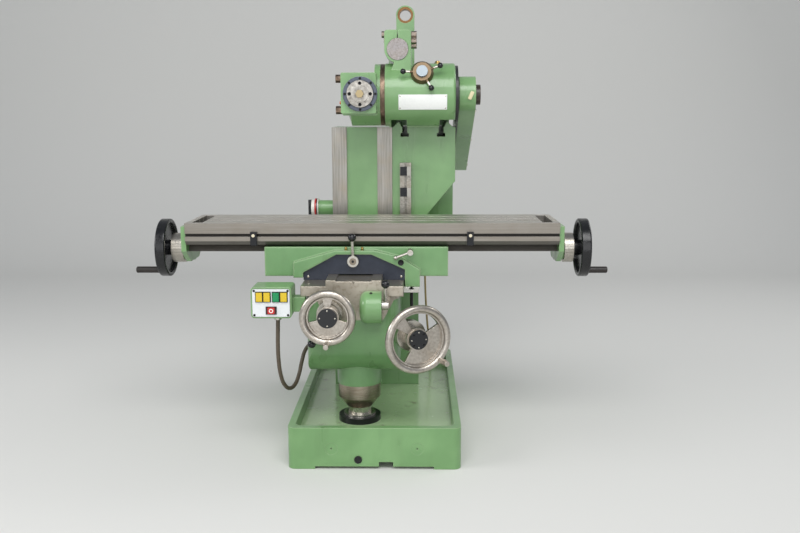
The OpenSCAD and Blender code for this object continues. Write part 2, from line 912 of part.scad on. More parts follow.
// Trip rail with its T-slot
module trip_rail() {
    color("#B5B2AC") difference() {
        block(trip_rail_x0, trip_rail_x1, trip_rail_y, column_front_y, trip_rail_z0, trip_rail_z1);
        translate([trip_slot_x, trip_rail_y, trip_rail_z0 - overrun]) rotate([0, 0, 180])
            linear_extrude(trip_rail_z1 - trip_rail_z0 + 2 * overrun)
            tee(trip_slot_neck_w, trip_slot_neck_d, trip_slot_foot_w, trip_slot_foot_d);
    }
}

// Dog clamped in the trip rail's slot
module trip_dog(z) {
    front_y = trip_dog_y + trip_dog_screw_r;
    color("#26262A") {
        translate([trip_slot_x - trip_dog_w / 2, front_y, z - trip_dog_h / 2]) cube([trip_dog_w,
            trip_dog_t, trip_dog_h]);
        block(trip_slot_x - trip_slot_neck_w / 2 + slide_gap,
            trip_slot_x + trip_slot_neck_w / 2 - slide_gap,
            front_y, trip_rail_y + trip_slot_neck_d + trip_slot_foot_d - slide_gap,
            z - trip_dog_h / 2, z + trip_dog_h / 2);
        block(trip_slot_x - trip_slot_foot_w / 2 + slide_gap,
            trip_slot_x + trip_slot_foot_w / 2 - slide_gap,
            trip_rail_y + trip_slot_neck_d + slide_gap,
            trip_rail_y + trip_slot_neck_d + trip_slot_foot_d - slide_gap,
            z - trip_dog_h / 2, z + trip_dog_h / 2);
        rod_y(front_y - trip_dog_screw_r, front_y, trip_slot_x, z, trip_dog_screw_r);
    }
}

module trip_dog_upper() { trip_dog(trip_dog_upper_z); }

module trip_dog_lower() { trip_dog(trip_dog_lower_z); }

// Isolator switch: boss and ring on the column, knob that turns
isolator_ring_x = -column_left - isolator_boss_l - isolator_ring_l;

module isolator_body() {
    color("#7FA469") difference() {
        union() {
            rod_x(-column_left - isolator_boss_l, -column_left, isolator_y, isolator_z, isolator_boss_r);
            rod_x(isolator_ring_x, -column_left - isolator_boss_l, isolator_y, isolator_z, isolator_ring_r);
        }
        rod_x(isolator_ring_x - overrun, -column_left - isolator_boss_l, isolator_y, isolator_z,
            isolator_pin_r + shaft_gap);
    }
}

module isolator_knob() {
    color("#B3261E") union() {
        rod_x(isolator_ring_x - slide_gap - isolator_knob_l, isolator_ring_x - slide_gap, isolator_y,
            isolator_z,
            isolator_knob_r);
        rod_x(isolator_ring_x - slide_gap, isolator_ring_x + isolator_ring_l / 2, isolator_y, isolator_z,
            isolator_pin_r);
        block(isolator_ring_x - slide_gap - isolator_knob_l - isolator_grip_l,
            isolator_ring_x - slide_gap - isolator_knob_l, isolator_y - isolator_grip_w / 2,
            isolator_y + isolator_grip_w / 2, isolator_z - isolator_ring_r, isolator_z + isolator_knob_r);
    }
}

// Thin cable behind the column's foot, between its two glands
module power_cable() {
    color("#3B3A38") cord(cable_route, cable_r, cable_side);
}

module cable_glands() {
    top = cable_route[0];
    foot = cable_route[len(cable_route) - 1];
    color("#2A2A2A") {
        rod_z(top[2], shoulder_rear_z, top[0], top[1], cable_gland_r);
        rod_z(pan_floor_h, foot[2], foot[0], foot[1], cable_gland_r);
    }
}

// Elevating post on its flange
module lift_screw() {
    color("#B9B4AA") union() {
        rod_z(pan_floor_h, pan_floor_h + lift_flange_h, lift_x, lift_y, lift_flange_r);
        rod_z(pan_floor_h, pan_floor_h + lift_flange_h + lift_step_h, lift_x, lift_y, lift_step_r);
        rod_z(pan_floor_h, lift_post_top_z, lift_x, lift_y, lift_post_r);
    }
}

// Nut that turns in the knee's boss, with its collar below and its gear above
module lift_nut() {
    color("#AFA99E") difference() {
        union() {
            translate([lift_x, lift_y, nut_collar_z - nut_cone_h]) cylinder(h = nut_cone_h,
                r1 = nut_cone_r, r2 = lift_collar_r);
            rod_z(nut_collar_z, nut_boss_z - slide_gap, lift_x, lift_y, lift_collar_r);
            rod_z(nut_collar_z, knee_floor_z + slide_gap + nut_gear_h, lift_x, lift_y, nut_shank_r);
            rod_z(knee_floor_z + slide_gap, knee_floor_z + slide_gap + nut_gear_h, lift_x, lift_y,
                nut_gear_r);
        }
        rod_z(nut_collar_z - nut_cone_h - overrun, knee_floor_z + nut_gear_h + overrun, lift_x, lift_y,
            lift_post_r + shaft_gap);
    }
}

// Side outline of the knee's body, rounded under its front
module knee_side() {
    nose_y = knee_front_y + knee_nose_r;
    nose_z = knee_bottom_z + knee_nose_r;
    translate([knee_front_y, nose_z]) square([knee_back_y - knee_front_y, knee_body_top_z - nose_z]);
    translate([nose_y, knee_bottom_z]) square([knee_back_y - nose_y, knee_body_top_z - knee_bottom_z]);
    translate([nose_y, nose_z]) circle(knee_nose_r);
}

// Plan outline of the knee's body, rounded at its front corners
module knee_plan() {
    x0 = knee_x - knee_body_left;
    x1 = knee_x + knee_body_right;
    translate([x0, knee_front_y + knee_corner_r]) square([x1 - x0,
        knee_back_y - knee_front_y - knee_corner_r]);
    translate([x0 + knee_corner_r, knee_front_y]) square([x1 - x0 - 2 * knee_corner_r,
        knee_back_y - knee_front_y]);
    for (x = [x0 + knee_corner_r, x1 - knee_corner_r])
        translate([x, knee_front_y + knee_corner_r]) circle(knee_corner_r);
}

// Place a piece on the vertical handwheel's axis, with Z along it towards the operator
module on_lift_axis() {
    translate([lift_wheel_x, lift_wheel_y, lift_wheel_z]) rotate([0, 0, lift_wheel_turn]) rotate([90, 0,
        0]) children();
}

// Knee casting
module knee() {
    color("#8FA57C") difference() {
        union() {
            intersection() {
                extrude_x(knee_x - knee_body_left, knee_x + knee_body_right) knee_side();
                linear_extrude(knee_top_z) knee_plan();
            }
            block(knee_x - knee_flange_left_w, knee_x + knee_flange_right_w, knee_front_y, knee_back_y,
                knee_body_top_z, knee_flange_z);
            block(knee_x - knee_rail_w / 2, knee_x + knee_rail_w / 2, knee_front_y, knee_back_y,
                knee_flange_z, knee_top_z);
            block(knee_x - way_span / 2 + way_w + slide_gap, knee_x + way_span / 2 - way_w - slide_gap,
                knee_back_y, column_front_y - slide_gap, way_foot_z, knee_top_z);
            rod_z(nut_boss_z, knee_floor_z, lift_x, lift_y, knee_boss_r);
            on_lift_axis() translate([0, 0, -lift_boss_from - lift_boss_l]) cylinder(h = lift_boss_l,
                r = lift_boss_r);
        }
        block(knee_x - knee_rail_w / 2 + rail_strip_w, knee_x + knee_rail_w / 2 - rail_strip_w,
            knee_front_y - overrun, column_front_y, knee_top_z - rail_recess_d, knee_top_z + overrun);
        block(knee_x - knee_body_left + knee_wall, knee_x + knee_body_right - knee_wall,
            knee_front_y + knee_front_wall, knee_back_y - knee_wall, knee_floor_z, knee_roof_z);
        rod_z(nut_boss_z - overrun, knee_floor_z + overrun, lift_x, lift_y, nut_shank_r + shaft_gap);
        rod_y(knee_front_y - overrun, knee_front_y + knee_front_wall + overrun, cross_x, cross_z,
            cross_screw_r + shaft_gap);
        rod_y(knee_front_y - overrun, knee_front_y + rail_hole_d, knee_x, rail_hole_z, rail_hole_r);
        block(trip_rail_x0 - rail_clear, stop_rail_x0 + overrun, trip_dog_y - rail_clear,
            knee_back_y + overrun,
            knee_bottom_z - overrun, knee_top_z + overrun);
        rod_y(knee_front_y - overrun, knee_front_y + feed_pin_l, low_lever_x, low_lever_z,
            feed_pin_r + shaft_gap);
        on_lift_axis() translate([0, 0, -lift_shaft_l - lift_gear_l - overrun])
            cylinder(h = lift_shaft_l + lift_gear_l, r = lift_shaft_r + shaft_gap);
        on_lift_axis() translate([0, 0, -lift_shaft_l - lift_gear_l - overrun])
            cylinder(h = lift_shaft_l + lift_gear_l - lift_boss_from - lift_boss_l + overrun,
            r = lift_gear_r + overrun);
    }
}

// Stop rail along the knee's right side, with its rod below
module stop_rail() {
    color("#D8D8D4") {
        difference() {
            block(stop_rail_x0, stop_rail_x1, stop_rail_front_y, stop_rail_front_y + stop_rail_l,
                stop_rail_z1 - stop_rail_h, stop_rail_z1);
            extrude_y(stop_rail_front_y - overrun, stop_rail_front_y + stop_rail_l + overrun)
                translate([(stop_rail_x0 + stop_rail_x1) / 2, stop_rail_z1])
                tee(stop_slot_neck_w, stop_slot_neck_d, stop_slot_foot_w, stop_slot_foot_d);
        }
        rod_z(stop_rail_z1 - stop_rail_h - stop_rod_length, stop_rail_z1 - stop_rail_h,
            (stop_rail_x0 + stop_rail_x1) / 2,
            stop_rail_front_y + stop_rail_w / 2, stop_rod_r);
    }
}

// Feed gearbox drum on the knee's front
module feed_drum() {
    color("#7FA469") difference() {
        translate([feed_x0, feed_y, feed_z]) rotate([0, 90, 0]) rotate_extrude() {
            square([feed_r - feed_round_r, feed_x1 - feed_x0]);
            translate([0, feed_round_r]) square([feed_r, feed_x1 - feed_x0 - feed_round_r]);
            translate([feed_r - feed_round_r, feed_round_r]) circle(feed_round_r);
        }
        block(feed_x0 - overrun, feed_x1 + overrun, knee_front_y, knee_front_y + 2 * feed_r,
            feed_z - 2 * feed_r,
            feed_z + 2 * feed_r);
        rod_x(feed_x1 - feed_pin_l, feed_x1 + overrun, feed_hub_y, feed_hub_z, feed_pin_r + shaft_gap);
    }
}

// Cross-feed lever on the drum's right end
module cross_feed_lever() {
    hub_x = feed_x1 + slide_gap;
    hub = [hub_x + feed_hub_l / 2, feed_hub_y, feed_hub_z];
    color("#B9B4AA") union() {
        rod_x(hub_x, hub_x + feed_hub_l, feed_hub_y, feed_hub_z, feed_hub_r);
        rod_x(hub_x - feed_pin_l + overrun, hub_x, feed_hub_y, feed_hub_z, feed_pin_r);
        ball_lever(hub, hub + [feed_ball_dx, feed_ball_dy, feed_ball_dz], lever_rod_r, lever_ball_r);
    }
}

// Feed lever low on the knee's left front
module lift_feed_lever() {
    hub = [low_lever_x, knee_front_y - slide_gap - low_hub_l / 2, low_lever_z];
    color("#B9B4AA") union() {
        rod_y(knee_front_y - slide_gap - low_hub_l, knee_front_y - slide_gap, low_lever_x, low_lever_z,
            low_hub_r);
        rod_y(knee_front_y - slide_gap, knee_front_y + feed_pin_l - overrun, low_lever_x, low_lever_z,
            feed_pin_r);
        ball_lever(hub, hub + [low_ball_dx, low_ball_dy, low_ball_dz], lever_rod_r, lever_ball_r);
    }
}

// Handwheel with a round rim, a solid sector that carries the handle, and two windows; Z points to the operator
module handwheel(r, solid_angle, bore_r) {
    rim_r = r - wheel_rim_r;
    window_r1 = rim_r - wheel_rim_r + wheel_rim_bite - wheel_window_gap;
    first = solid_angle + 180 + wheel_spoke_half;
    difference() {
        union() {
            rotate_extrude() translate([rim_r, 0]) circle(wheel_rim_r);
            translate([0, 0, -wheel_web_back - wheel_web_t]) cylinder(h = wheel_web_t,
                r = rim_r - wheel_rim_r + wheel_rim_bite);
            translate([0, 0, -wheel_web_back - wheel_web_t]) difference() {
                cylinder(h = wheel_web_back + wheel_web_t, r = rim_r - wheel_rim_r + wheel_rim_bite);
                translate([0, 0, -overrun]) cylinder(h = wheel_web_back + wheel_web_t + 2 * overrun,
                    r = window_r1);
            }
            translate([0, 0, -wheel_hub_l]) cylinder(h = wheel_hub_l, r = wheel_hub_r);
            cylinder(h = wheel_cap_l, r = wheel_hub_r);
            rotate([0, 0, solid_angle]) translate([rim_r, 0,
                0]) cylinder(h = wheel_rim_r + grip_l - wheel_cap_l, r = grip_pin_r);
        }
        for (from = [first, first - 2 * wheel_spoke_half - wheel_window_span])
            translate([0, 0, -wheel_hub_l]) linear_extrude(wheel_hub_l + wheel_rim_r)
            sector(wheel_hub_r + wheel_window_gap / 2, window_r1, from, wheel_window_span);
        for (k = [0 : 3]) rotate([0, 0,
            solid_angle + 90 * k]) translate([wheel_hub_r * wheel_cap_screw_share, 0, 0])
            cylinder(h = wheel_cap_l + overrun, r = wheel_cap_screw_r);
        translate([0, 0, -wheel_hub_l - overrun]) cylinder(h = wheel_hub_l + overrun - wheel_cap_l,
            r = bore_r);
    }
}

// Revolving grip on a handwheel's pin, standing along Z from the rim
module wheel_grip(r, solid_angle) {
    rim_r = r - wheel_rim_r;
    belly = grip_l * grip_belly_share;
    rotate([0, 0, solid_angle]) translate([rim_r, 0, wheel_rim_r + slide_gap]) difference() {
        union() {
            cylinder(h = belly, r1 = grip_neck_r, r2 = grip_belly_r);
            translate([0, 0, belly]) cylinder(h = grip_l - belly, r1 = grip_belly_r, r2 = grip_end_r);
        }
        translate([0, 0, -overrun]) cylinder(h = grip_l - wheel_cap_l + 2 * overrun,
            r = grip_pin_r + shaft_gap);
    }
}

// Place a piece on the cross handwheel's axis
module on_cross_axis() {
    translate([cross_x, cross_rim_y, cross_z]) rotate([90, 0, 0]) children();
}

module cross_wheel() {
    color("#B8B4AC") on_cross_axis() handwheel(cross_wheel_r, cross_solid_angle, cross_screw_r);
}

module cross_grip() {
    color("#C4C0B8") on_cross_axis() wheel_grip(cross_wheel_r, cross_solid_angle);
}

// Cross-feed screw with its graduated dial
module cross_screw() {
    color("#B9B4AA") union() {
        rod_y(cross_rim_y + wheel_cap_l, knee_front_y + cross_screw_l, cross_x, cross_z, cross_screw_r);
        rod_y(knee_front_y - slide_gap - cross_dial_l, knee_front_y - slide_gap, cross_x, cross_z,
            cross_dial_r);
    }
}

module lift_wheel() {
    color("#B8B4AC") on_lift_axis() handwheel(lift_wheel_r, lift_solid_angle, lift_shaft_r);
}

module lift_grip() {
    color("#C4C0B8") on_lift_axis() wheel_grip(lift_wheel_r, lift_solid_angle);
}

// Shaft of the vertical handwheel with its dial and inner gear
module lift_shaft() {
    dial_back = lift_boss_from - slide_gap;
    color("#8A8780") on_lift_axis() union() {
        translate([0, 0, -lift_shaft_l]) cylinder(h = lift_shaft_l - wheel_cap_l, r = lift_shaft_r);
        translate([0, 0, -dial_back]) cylinder(h = dial_back - wheel_hub_l, r = lift_dial_r);
        translate([0, 0, -lift_shaft_l - lift_gear_l + overrun]) cylinder(h = lift_gear_l - overrun,
            r = lift_gear_r);
    }
}

// Push-button box, hollow behind its panel, on an arm from the knee
module control_box() {
    color("#6F9A62") difference() {
        union() {
            translate([box_x, 0, box_z]) extrude_y(box_front_y, box_back_y) round_rect(box_w, box_h,
                box_corner_r);
            block(box_x + box_w / 2 - box_wall, knee_x - knee_body_left, arm_y0, arm_y1, arm_z0, arm_z1);
            rod_x(knee_x - knee_body_left - arm_bolt_h, knee_x - knee_body_left, (arm_y0 + arm_y1) / 2,
                (arm_z0 + arm_z1) / 2, arm_bolt_r);
            translate([box_x - box_w / 2, box_back_y - box_d / 2,
                box_top_z - box_corner_r]) sphere(arm_knob_r);
        }
        translate([box_x, 0, box_z]) extrude_y(box_front_y - overrun, box_back_y - box_wall)
            round_rect(box_w - 2 * box_wall, box_h - 2 * box_wall, box_corner_r - box_wall);
    }
}

// Places of the four push buttons and of the stop button: X and Z
button_places = [for (share = button_x_shares) [box_x + share * box_w, box_z + button_rise]];
stop_place = [box_x + stop_x_share * box_w, box_z - stop_drop];

// Cut through the panel and the frames for one button
module button_hole(place, w, h) {
    translate([place[0], 0, place[1]]) extrude_y(box_front_y - 2 * panel_t - frame_t,
        box_front_y + 2 * panel_t)
        square([w + 2 * slide_gap, h + 2 * slide_gap], center = true);
}

module button_holes() {
    for (place = button_places) button_hole(place, button_w, button_h);
    button_hole(stop_place, stop_w, stop_h);
}

module control_panel() {
    color("#D9DBD8") difference() {
        union() {
            translate([box_x, 0, box_z]) extrude_y(box_front_y - panel_t, box_front_y)
                round_rect(box_w - 2 * panel_margin, box_h - 2 * panel_margin, box_corner_r - panel_margin);
            translate([box_x, 0, box_z]) extrude_y(box_front_y - panel_t, box_front_y)
                square([box_w - 2 * panel_margin, box_h - 2 * panel_margin - box_corner_r], center = true);
        }
        button_holes();
        for (sx = [-1, 1], sz = [-1, 1]) rod_y(box_front_y - 2 * panel_t, box_front_y - panel_t / 2,
            box_x + sx * (box_w / 2 - panel_screw_inset), box_z + sz * (box_h / 2 - panel_screw_inset),
            panel_screw_r);
    }
}

// Black frames round the two button pairs and the stop button
module button_frames() {
    y1 = box_front_y - panel_t;
    color("#1C1C1C") difference() {
        union() {
            for (pair = [0, 2]) {
                left = button_places[pair];
                right = button_places[pair + 1];
                block(left[0] - button_w / 2 - frame_rim, right[0] + button_w / 2 + frame_rim,
                    y1 - frame_t, y1,
                    left[1] - button_h / 2 - frame_rim, left[1] + button_h / 2 + frame_rim);
            }
            block(stop_place[0] - stop_w / 2 - frame_rim, stop_place[0] + stop_w / 2 + frame_rim,
                y1 - frame_t, y1,
                stop_place[1] - stop_h / 2 - frame_rim, stop_place[1] + stop_h / 2 + frame_rim);
        }
        button_holes();
    }
}

// One push button
module button(place, w, h) {
    y0 = box_front_y - panel_t - frame_t - button_proud;
    block(place[0] - w / 2, place[0] + w / 2, y0, y0 + button_l, place[1] - h / 2, place[1] + h / 2);
}

module button_left() { color("#D9C32E") button(button_places[0], button_w, button_h); }

module button_right() { color("#D9C32E") button(button_places[1], button_w, button_h); }

module button_start() { color("#0E8F4E") button(button_places[2], button_w, button_h); }

module button_jog() { color("#D9C32E") button(button_places[3], button_w, button_h); }

module button_stop() { color("#C22A22") button(stop_place, stop_w, stop_h); }

// Conduit under the box and its two glands
module conduit() {
    color("#6B5A3C") cord(conduit_route, conduit_r, conduit_side);
}

module conduit_glands() {
    top = conduit_route[0];
    last = len(conduit_route) - 1;
    foot = conduit_route[last];
    run = unit(foot - conduit_route[last - 1]);
    seat = [knee_x - knee_body_left, foot[1] + run[1] * conduit_gland_l,
        foot[2] + run[2] * conduit_gland_l];
    color("#A8A59C") {
        rod_z(top[2], box_z - box_h / 2, top[0], top[1], conduit_gland_r);
        difference() {
            bar_between(foot, foot + run * 2 * conduit_gland_l, conduit_gland_r);
            block(seat[0], seat[0] + 4 * conduit_gland_l, seat[1] - 4 * conduit_gland_l,
                seat[1] + 4 * conduit_gland_l,
                seat[2] - 4 * conduit_gland_l, seat[2] + 4 * conduit_gland_l);
        }
    }
}

// Section of the table's dovetail, grown by a gap for the saddle's groove
module dovetail(gap) {
    polygon([[-dove_neck_half_w - gap, table_under_z], [-dove_half_w - gap, table_dove_z - gap],
        [dove_half_w + gap, table_dove_z - gap], [dove_neck_half_w + gap, table_under_z]]);
}

// Saddle: wings, guides on the knee's flange, apron with its arch, and the table screw's nut
module saddle() {
    rail_x0 = knee_x - knee_rail_w / 2 - slide_gap;
    rail_x1 = knee_x + knee_rail_w / 2 + slide_gap;
    guide_z = knee_flange_z + slide_gap;
    color("#76A066") difference() {
        union() {
            difference() {
                union() {
                    block(saddle_x0, saddle_x1, saddle_front_y, saddle_back_y, saddle_wing_z, saddle_top_z);
                    block(knee_x - knee_flange_left_w, knee_x + knee_flange_right_w, saddle_front_y,
                        saddle_back_y,
                        guide_z, saddle_wing_z);
                }
                block(rail_x0, rail_x1, saddle_front_y - overrun, saddle_back_y + overrun,
                    guide_z - overrun, knee_top_z + slide_gap);
                extrude_x(saddle_x0 - overrun, saddle_x1 + overrun) translate([table_y,
                    0]) dovetail(slide_gap);
                block(saddle_x0 - overrun, saddle_x1 + overrun, table_y - screw_channel_w / 2,
                    table_y + screw_channel_w / 2, screw_channel_floor_z, saddle_top_z + overrun);
            }
            block(leg_left_x - leg_left_w, leg_left_x, apron_y, saddle_back_y, leg_left_z,
                saddle_wing_z + overrun);
            block(leg_right_x, leg_right_x + leg_right_w, apron_y, saddle_back_y, stop_rail_z1 + slide_gap,
                saddle_wing_z + overrun);
            block(knee_x - nut_block_l / 2, knee_x + nut_block_l / 2, table_y - screw_channel_w / 2,
                table_y + screw_channel_w / 2, screw_channel_floor_z - overrun, table_dove_z - slide_gap);
            extrude_y(apron_y, saddle_front_y) polygon([
                [leg_left_x - leg_left_w, leg_left_z], [leg_left_x - leg_left_w, apron_left_z],
                [knee_x - apron_top_left, apron_top_z], [knee_x + apron_top_right, apron_top_z],
                [knee_x + apron_bend_right, apron_right_z], [leg_right_x + leg_right_w, apron_end_z],
                [leg_right_x + leg_right_w, stop_rail_z1 + slide_gap], [leg_right_x,
                stop_rail_z1 + slide_gap],
                [leg_right_x, arch_right_z], [knee_x + arch_top_right, arch_top_z],
                [knee_x - arch_top_left, arch_top_z], [leg_left_x, arch_left_z], [leg_left_x, leg_left_z]]);
        }
        rod_x(knee_x - nut_block_l, knee_x + nut_block_l, table_y, screw_z, table_screw_r + shaft_gap);
        rod_y(apron_y - overrun, apron_y + oil_hole_d, oil_hole_x, oil_hole_z, oil_hole_r);
        rod_y(saddle_front_y - overrun, saddle_front_y + table_lever_pin_l, table_lever_x, table_lever_z,
            table_lever_pin_r + shaft_gap);
        rod_y(saddle_front_y - overrun, saddle_front_y + clamp_pin_l, clamp_lever_x, clamp_lever_z,
            clamp_pin_r + shaft_gap);
    }
}

// Wiper plate that closes the apron's arch over the knee's rail
module saddle_wiper() {
    low_z = knee_flange_z + slide_gap;
    rail_z = knee_top_z + slide_gap;
    rail_x0 = knee_x - knee_rail_w / 2 - slide_gap;
    rail_x1 = knee_x + knee_rail_w / 2 + slide_gap;
    color("#2B2F38") difference() {
        extrude_y(saddle_front_y - wiper_t, saddle_front_y) polygon([
            [leg_left_x, low_z], [leg_left_x, arch_left_z], [knee_x - arch_top_left, arch_top_z],
            [knee_x + arch_top_right, arch_top_z], [leg_right_x, arch_right_z], [leg_right_x, low_z],
            [rail_x1, low_z], [rail_x1, rail_z], [rail_x0, rail_z], [rail_x0, low_z]]);
        rod_y(saddle_front_y - wiper_t - overrun, saddle_front_y + overrun, table_lever_x, table_lever_z,
            table_lever_pin_r + shaft_gap);
    }
}

// Table-feed lever on the saddle's front
module table_feed_lever() {
    back_y = saddle_front_y - wiper_t - slide_gap;
    hub = [table_lever_x, back_y - table_lever_hub_l / 2, table_lever_z];
    color("#B9B4AA") union() {
        rod_y(back_y - table_lever_hub_l, back_y, table_lever_x, table_lever_z, table_lever_hub_r);
        rod_y(back_y, saddle_front_y + table_lever_pin_l - overrun, table_lever_x, table_lever_z,
            table_lever_pin_r);
        ball_lever(hub, hub + [table_ball_dx, table_ball_dy, table_ball_dz], lever_rod_r, lever_ball_r);
    }
}

// Table clamp lever on the saddle's right front
module table_clamp_lever() {
    back_y = saddle_front_y - slide_gap;
    hub = [clamp_lever_x, back_y - clamp_hub_l + clamp_hub_r, clamp_lever_z];
    color("#B9B4AA") union() {
        rod_y(back_y - clamp_hub_l, back_y, clamp_lever_x, clamp_lever_z, clamp_hub_r);
        rod_y(back_y, saddle_front_y + clamp_pin_l - overrun, clamp_lever_x, clamp_lever_z, clamp_pin_r);
        ball_lever(hub, hub + [clamp_end_dx, 0, clamp_end_dz], clamp_rod_r, clamp_end_r);
    }
}

// Table with its T-slots, dog groove and end pockets
module table() {
    half = table_w / 2;
    color("#ADA79B") difference() {
        extrude_x(table_x0, table_x1) translate([table_y, 0]) {
            polygon([[-half, table_top_z], [-half, dog_groove_z0 + dog_groove_h],
                [-half + dog_groove_d, dog_groove_z0 + dog_groove_h], [-half + dog_groove_d, dog_groove_z0],
                [-half, dog_groove_z0], [-half, table_edge_z], [-half + table_chamfer, table_under_z],
                [half - table_chamfer, table_under_z], [half, table_edge_z], [half, table_top_z]]);
            dovetail(0);
        }
        for (k = [-1, 0, 1]) extrude_x(table_x0 - overrun, table_x1 + overrun)
            translate([table_y + k * slot_pitch, table_top_z]) tee(slot_neck_w, slot_neck_d, slot_foot_w,
            slot_foot_d);
        block(table_x0 - overrun, table_x1 + overrun, table_y - screw_channel_w / 2,
            table_y + screw_channel_w / 2,
            table_dove_z - overrun, screw_channel_roof_z);
        for (x = [table_x0 + pocket_inset, table_x1 - pocket_inset - pocket_l])
            block(x, x + pocket_l, table_y - pocket_half_w, table_y + pocket_half_w, table_top_z - pocket_d,
                table_top_z + overrun);
    }
}

// End brackets that carry the table screw
module table_bracket(x0, x1, boss_x0, boss_x1) {
    difference() {
        union() {
            extrude_x(x0, x1) polygon([[table_y - bracket_half_w, table_top_z - bracket_top_drop],
                [table_y - bracket_half_w, bracket_foot_z], [table_y - bracket_foot_half_w,
                bracket_foot_low_z],
                [table_y + bracket_foot_half_w, bracket_foot_low_z], [table_y + bracket_half_w,
                bracket_foot_z],
                [table_y + bracket_half_w, table_top_z - bracket_top_drop]]);
            rod_x(boss_x0, boss_x1, table_y, screw_z, bracket_boss_r);
        }
        rod_x(boss_x0 - overrun, boss_x1 + overrun, table_y, screw_z, table_screw_r + shaft_gap);
    }
}

module table_brackets() {
    color("#6F9A62") {
        table_bracket(table_x0 - bracket_t, table_x0, bracket_left_x, table_x0);
        table_bracket(table_x1, table_x1 + bracket_t, table_x1, bracket_right_x);
    }
}

// Stop dog in the table's front groove
module table_dog(x) {
    y1 = saddle_front_y - slide_gap;
    z = dog_groove_z0 + dog_groove_h / 2;
    color("#232327") union() {
        block(x - dog_w / 2, x + dog_w / 2, y1 - dog_t, y1, z - dog_h / 2 - dog_drop,
            z + dog_h / 2 - dog_drop);
        block(x - dog_w / 2, x + dog_w / 2, y1 - dog_t, y1 + dog_tongue_d, dog_groove_z0 + slide_gap,
            dog_groove_z0 + dog_groove_h - slide_gap);
        rod_y(y1 - dog_t - dog_screw_l, y1 - dog_t, x, z, dog_screw_r);
    }
}

module table_dog_left() { table_dog(dog_left_x); }

module table_dog_right() { table_dog(dog_right_x); }

// Table screw with the graduated dials on both ends
module table_screw() {
    color("#B9B4AA") union() {
        rod_x(wheel_left_x, wheel_right_x, table_y, screw_z, table_screw_r);
        rod_x(dial_left_x, bracket_left_x - slide_gap, table_y, screw_z, table_dial_r);
        rod_x(bracket_right_x + slide_gap, dial_right_x, table_y, screw_z, table_dial_r);
    }
}

// Offset of a table grip from the screw's axis
grip_dy = table_grip_orbit * cos(table_grip_angle);
grip_dz = table_grip_orbit * sin(table_grip_angle);

// One black handwheel, its rim's plane at the origin and X outwards
module table_wheel(hub_back, grip_l) {
    rim_r = table_wheel_r - table_rim_t / 2;
    difference() {
        union() {
            rotate([0, 90, 0]) rotate_extrude() translate([rim_r, 0])
                round_rect(table_rim_t, table_rim_w, table_rim_round);
            rod_x(-table_web_t / 2, table_web_t / 2, 0, 0, rim_r);
            rod_x(-hub_back, table_web_t, 0, 0, table_hub_r);
            hex_x(table_web_t, table_web_t + table_nut_l, 0, 0, table_nut_r);
            rod_x(0, (table_rim_w + grip_l) / 2, grip_dy, grip_dz, grip_pin_r);
            rod_x(0, table_rim_w / 2, grip_dy, grip_dz, table_grip_r);
        }
        rod_x(-hub_back - overrun, 0, 0, 0, table_screw_r);
    }
}

module table_wheels() {
    color("#17181A") {
        translate([wheel_left_x, table_y, screw_z]) mirror([1, 0, 0])
            table_wheel(table_wheel_left_gap, table_grip_left_l);
        translate([wheel_right_x, table_y, screw_z]) table_wheel(table_wheel_right_gap, table_grip_right_l);
    }
}

// Revolving grip of a black handwheel, its rim's plane at the origin and X outwards
module table_grip(grip_l) {
    from = table_rim_w / 2 + slide_gap;
    tip = from + grip_l - table_grip_chamfer;
    difference() {
        union() {
            rod_x(from, tip, grip_dy, grip_dz, table_grip_r);
            translate([tip, grip_dy, grip_dz]) rotate([0, 90, 0])
                cylinder(h = table_grip_chamfer, r1 = table_grip_r, r2 = table_grip_r - table_grip_chamfer);
        }
        rod_x(from - overrun, (table_rim_w + grip_l) / 2 + overrun, grip_dy, grip_dz,
            grip_pin_r + shaft_gap);
    }
}

module table_grip_left() {
    color("#17181A") translate([wheel_left_x, table_y, screw_z]) mirror([1, 0,
        0]) table_grip(table_grip_left_l);
}

module table_grip_right() {
    color("#17181A") translate([wheel_right_x, table_y, screw_z]) table_grip(table_grip_right_l);
}

// Outline round both pulleys, in Y and Z
module belt_outline(r) {
    translate([swivel_y, swivel_z]) rotate(belt_tilt) {
        circle(r);
        translate([belt_run, 0]) circle(r);
        translate([0, -r]) square([belt_run, 2 * r]);
    }
}

// Front outline of the overarm clamp, drawn in at its left over the drum
module clamp_outline() {
    neck_x = clamp_x0 + clamp_neck;
    translate([clamp_x0 + clamp_corner_r, clamp_top_z - clamp_corner_r]) circle(clamp_corner_r);
    translate([clamp_x1 - clamp_corner_r, clamp_top_z - clamp_corner_r]) circle(clamp_corner_r);
    translate([overarm_x, overarm_z]) circle(overarm_x - clamp_x0);
    polygon([[clamp_x0, overarm_z], [clamp_x0, clamp_top_z - clamp_corner_r],
        [clamp_x0 + clamp_corner_r, clamp_top_z], [clamp_x1 - clamp_corner_r, clamp_top_z],
        [clamp_x1, clamp_top_z - clamp_corner_r], [clamp_x1, swivel_z], [clamp_x0 + clamp_neck / 2,
        swivel_z],
        [clamp_x0 + clamp_neck / 2, swivel_z + drum_r * clamp_neck_share], [neck_x, swivel_z + drum_r],
        [neck_x, overarm_z - overarm_r]]);
}

// Place a piece on the star handle's axis, with Z out of the drum
module on_star_axis() {
    translate([star_x, swivel_y, swivel_z]) rotate([90 - star_rise, 0, 0]) translate([0, 0,
        drum_r + star_boss_l]) rotate([star_droop, 0, 0]) children();
}

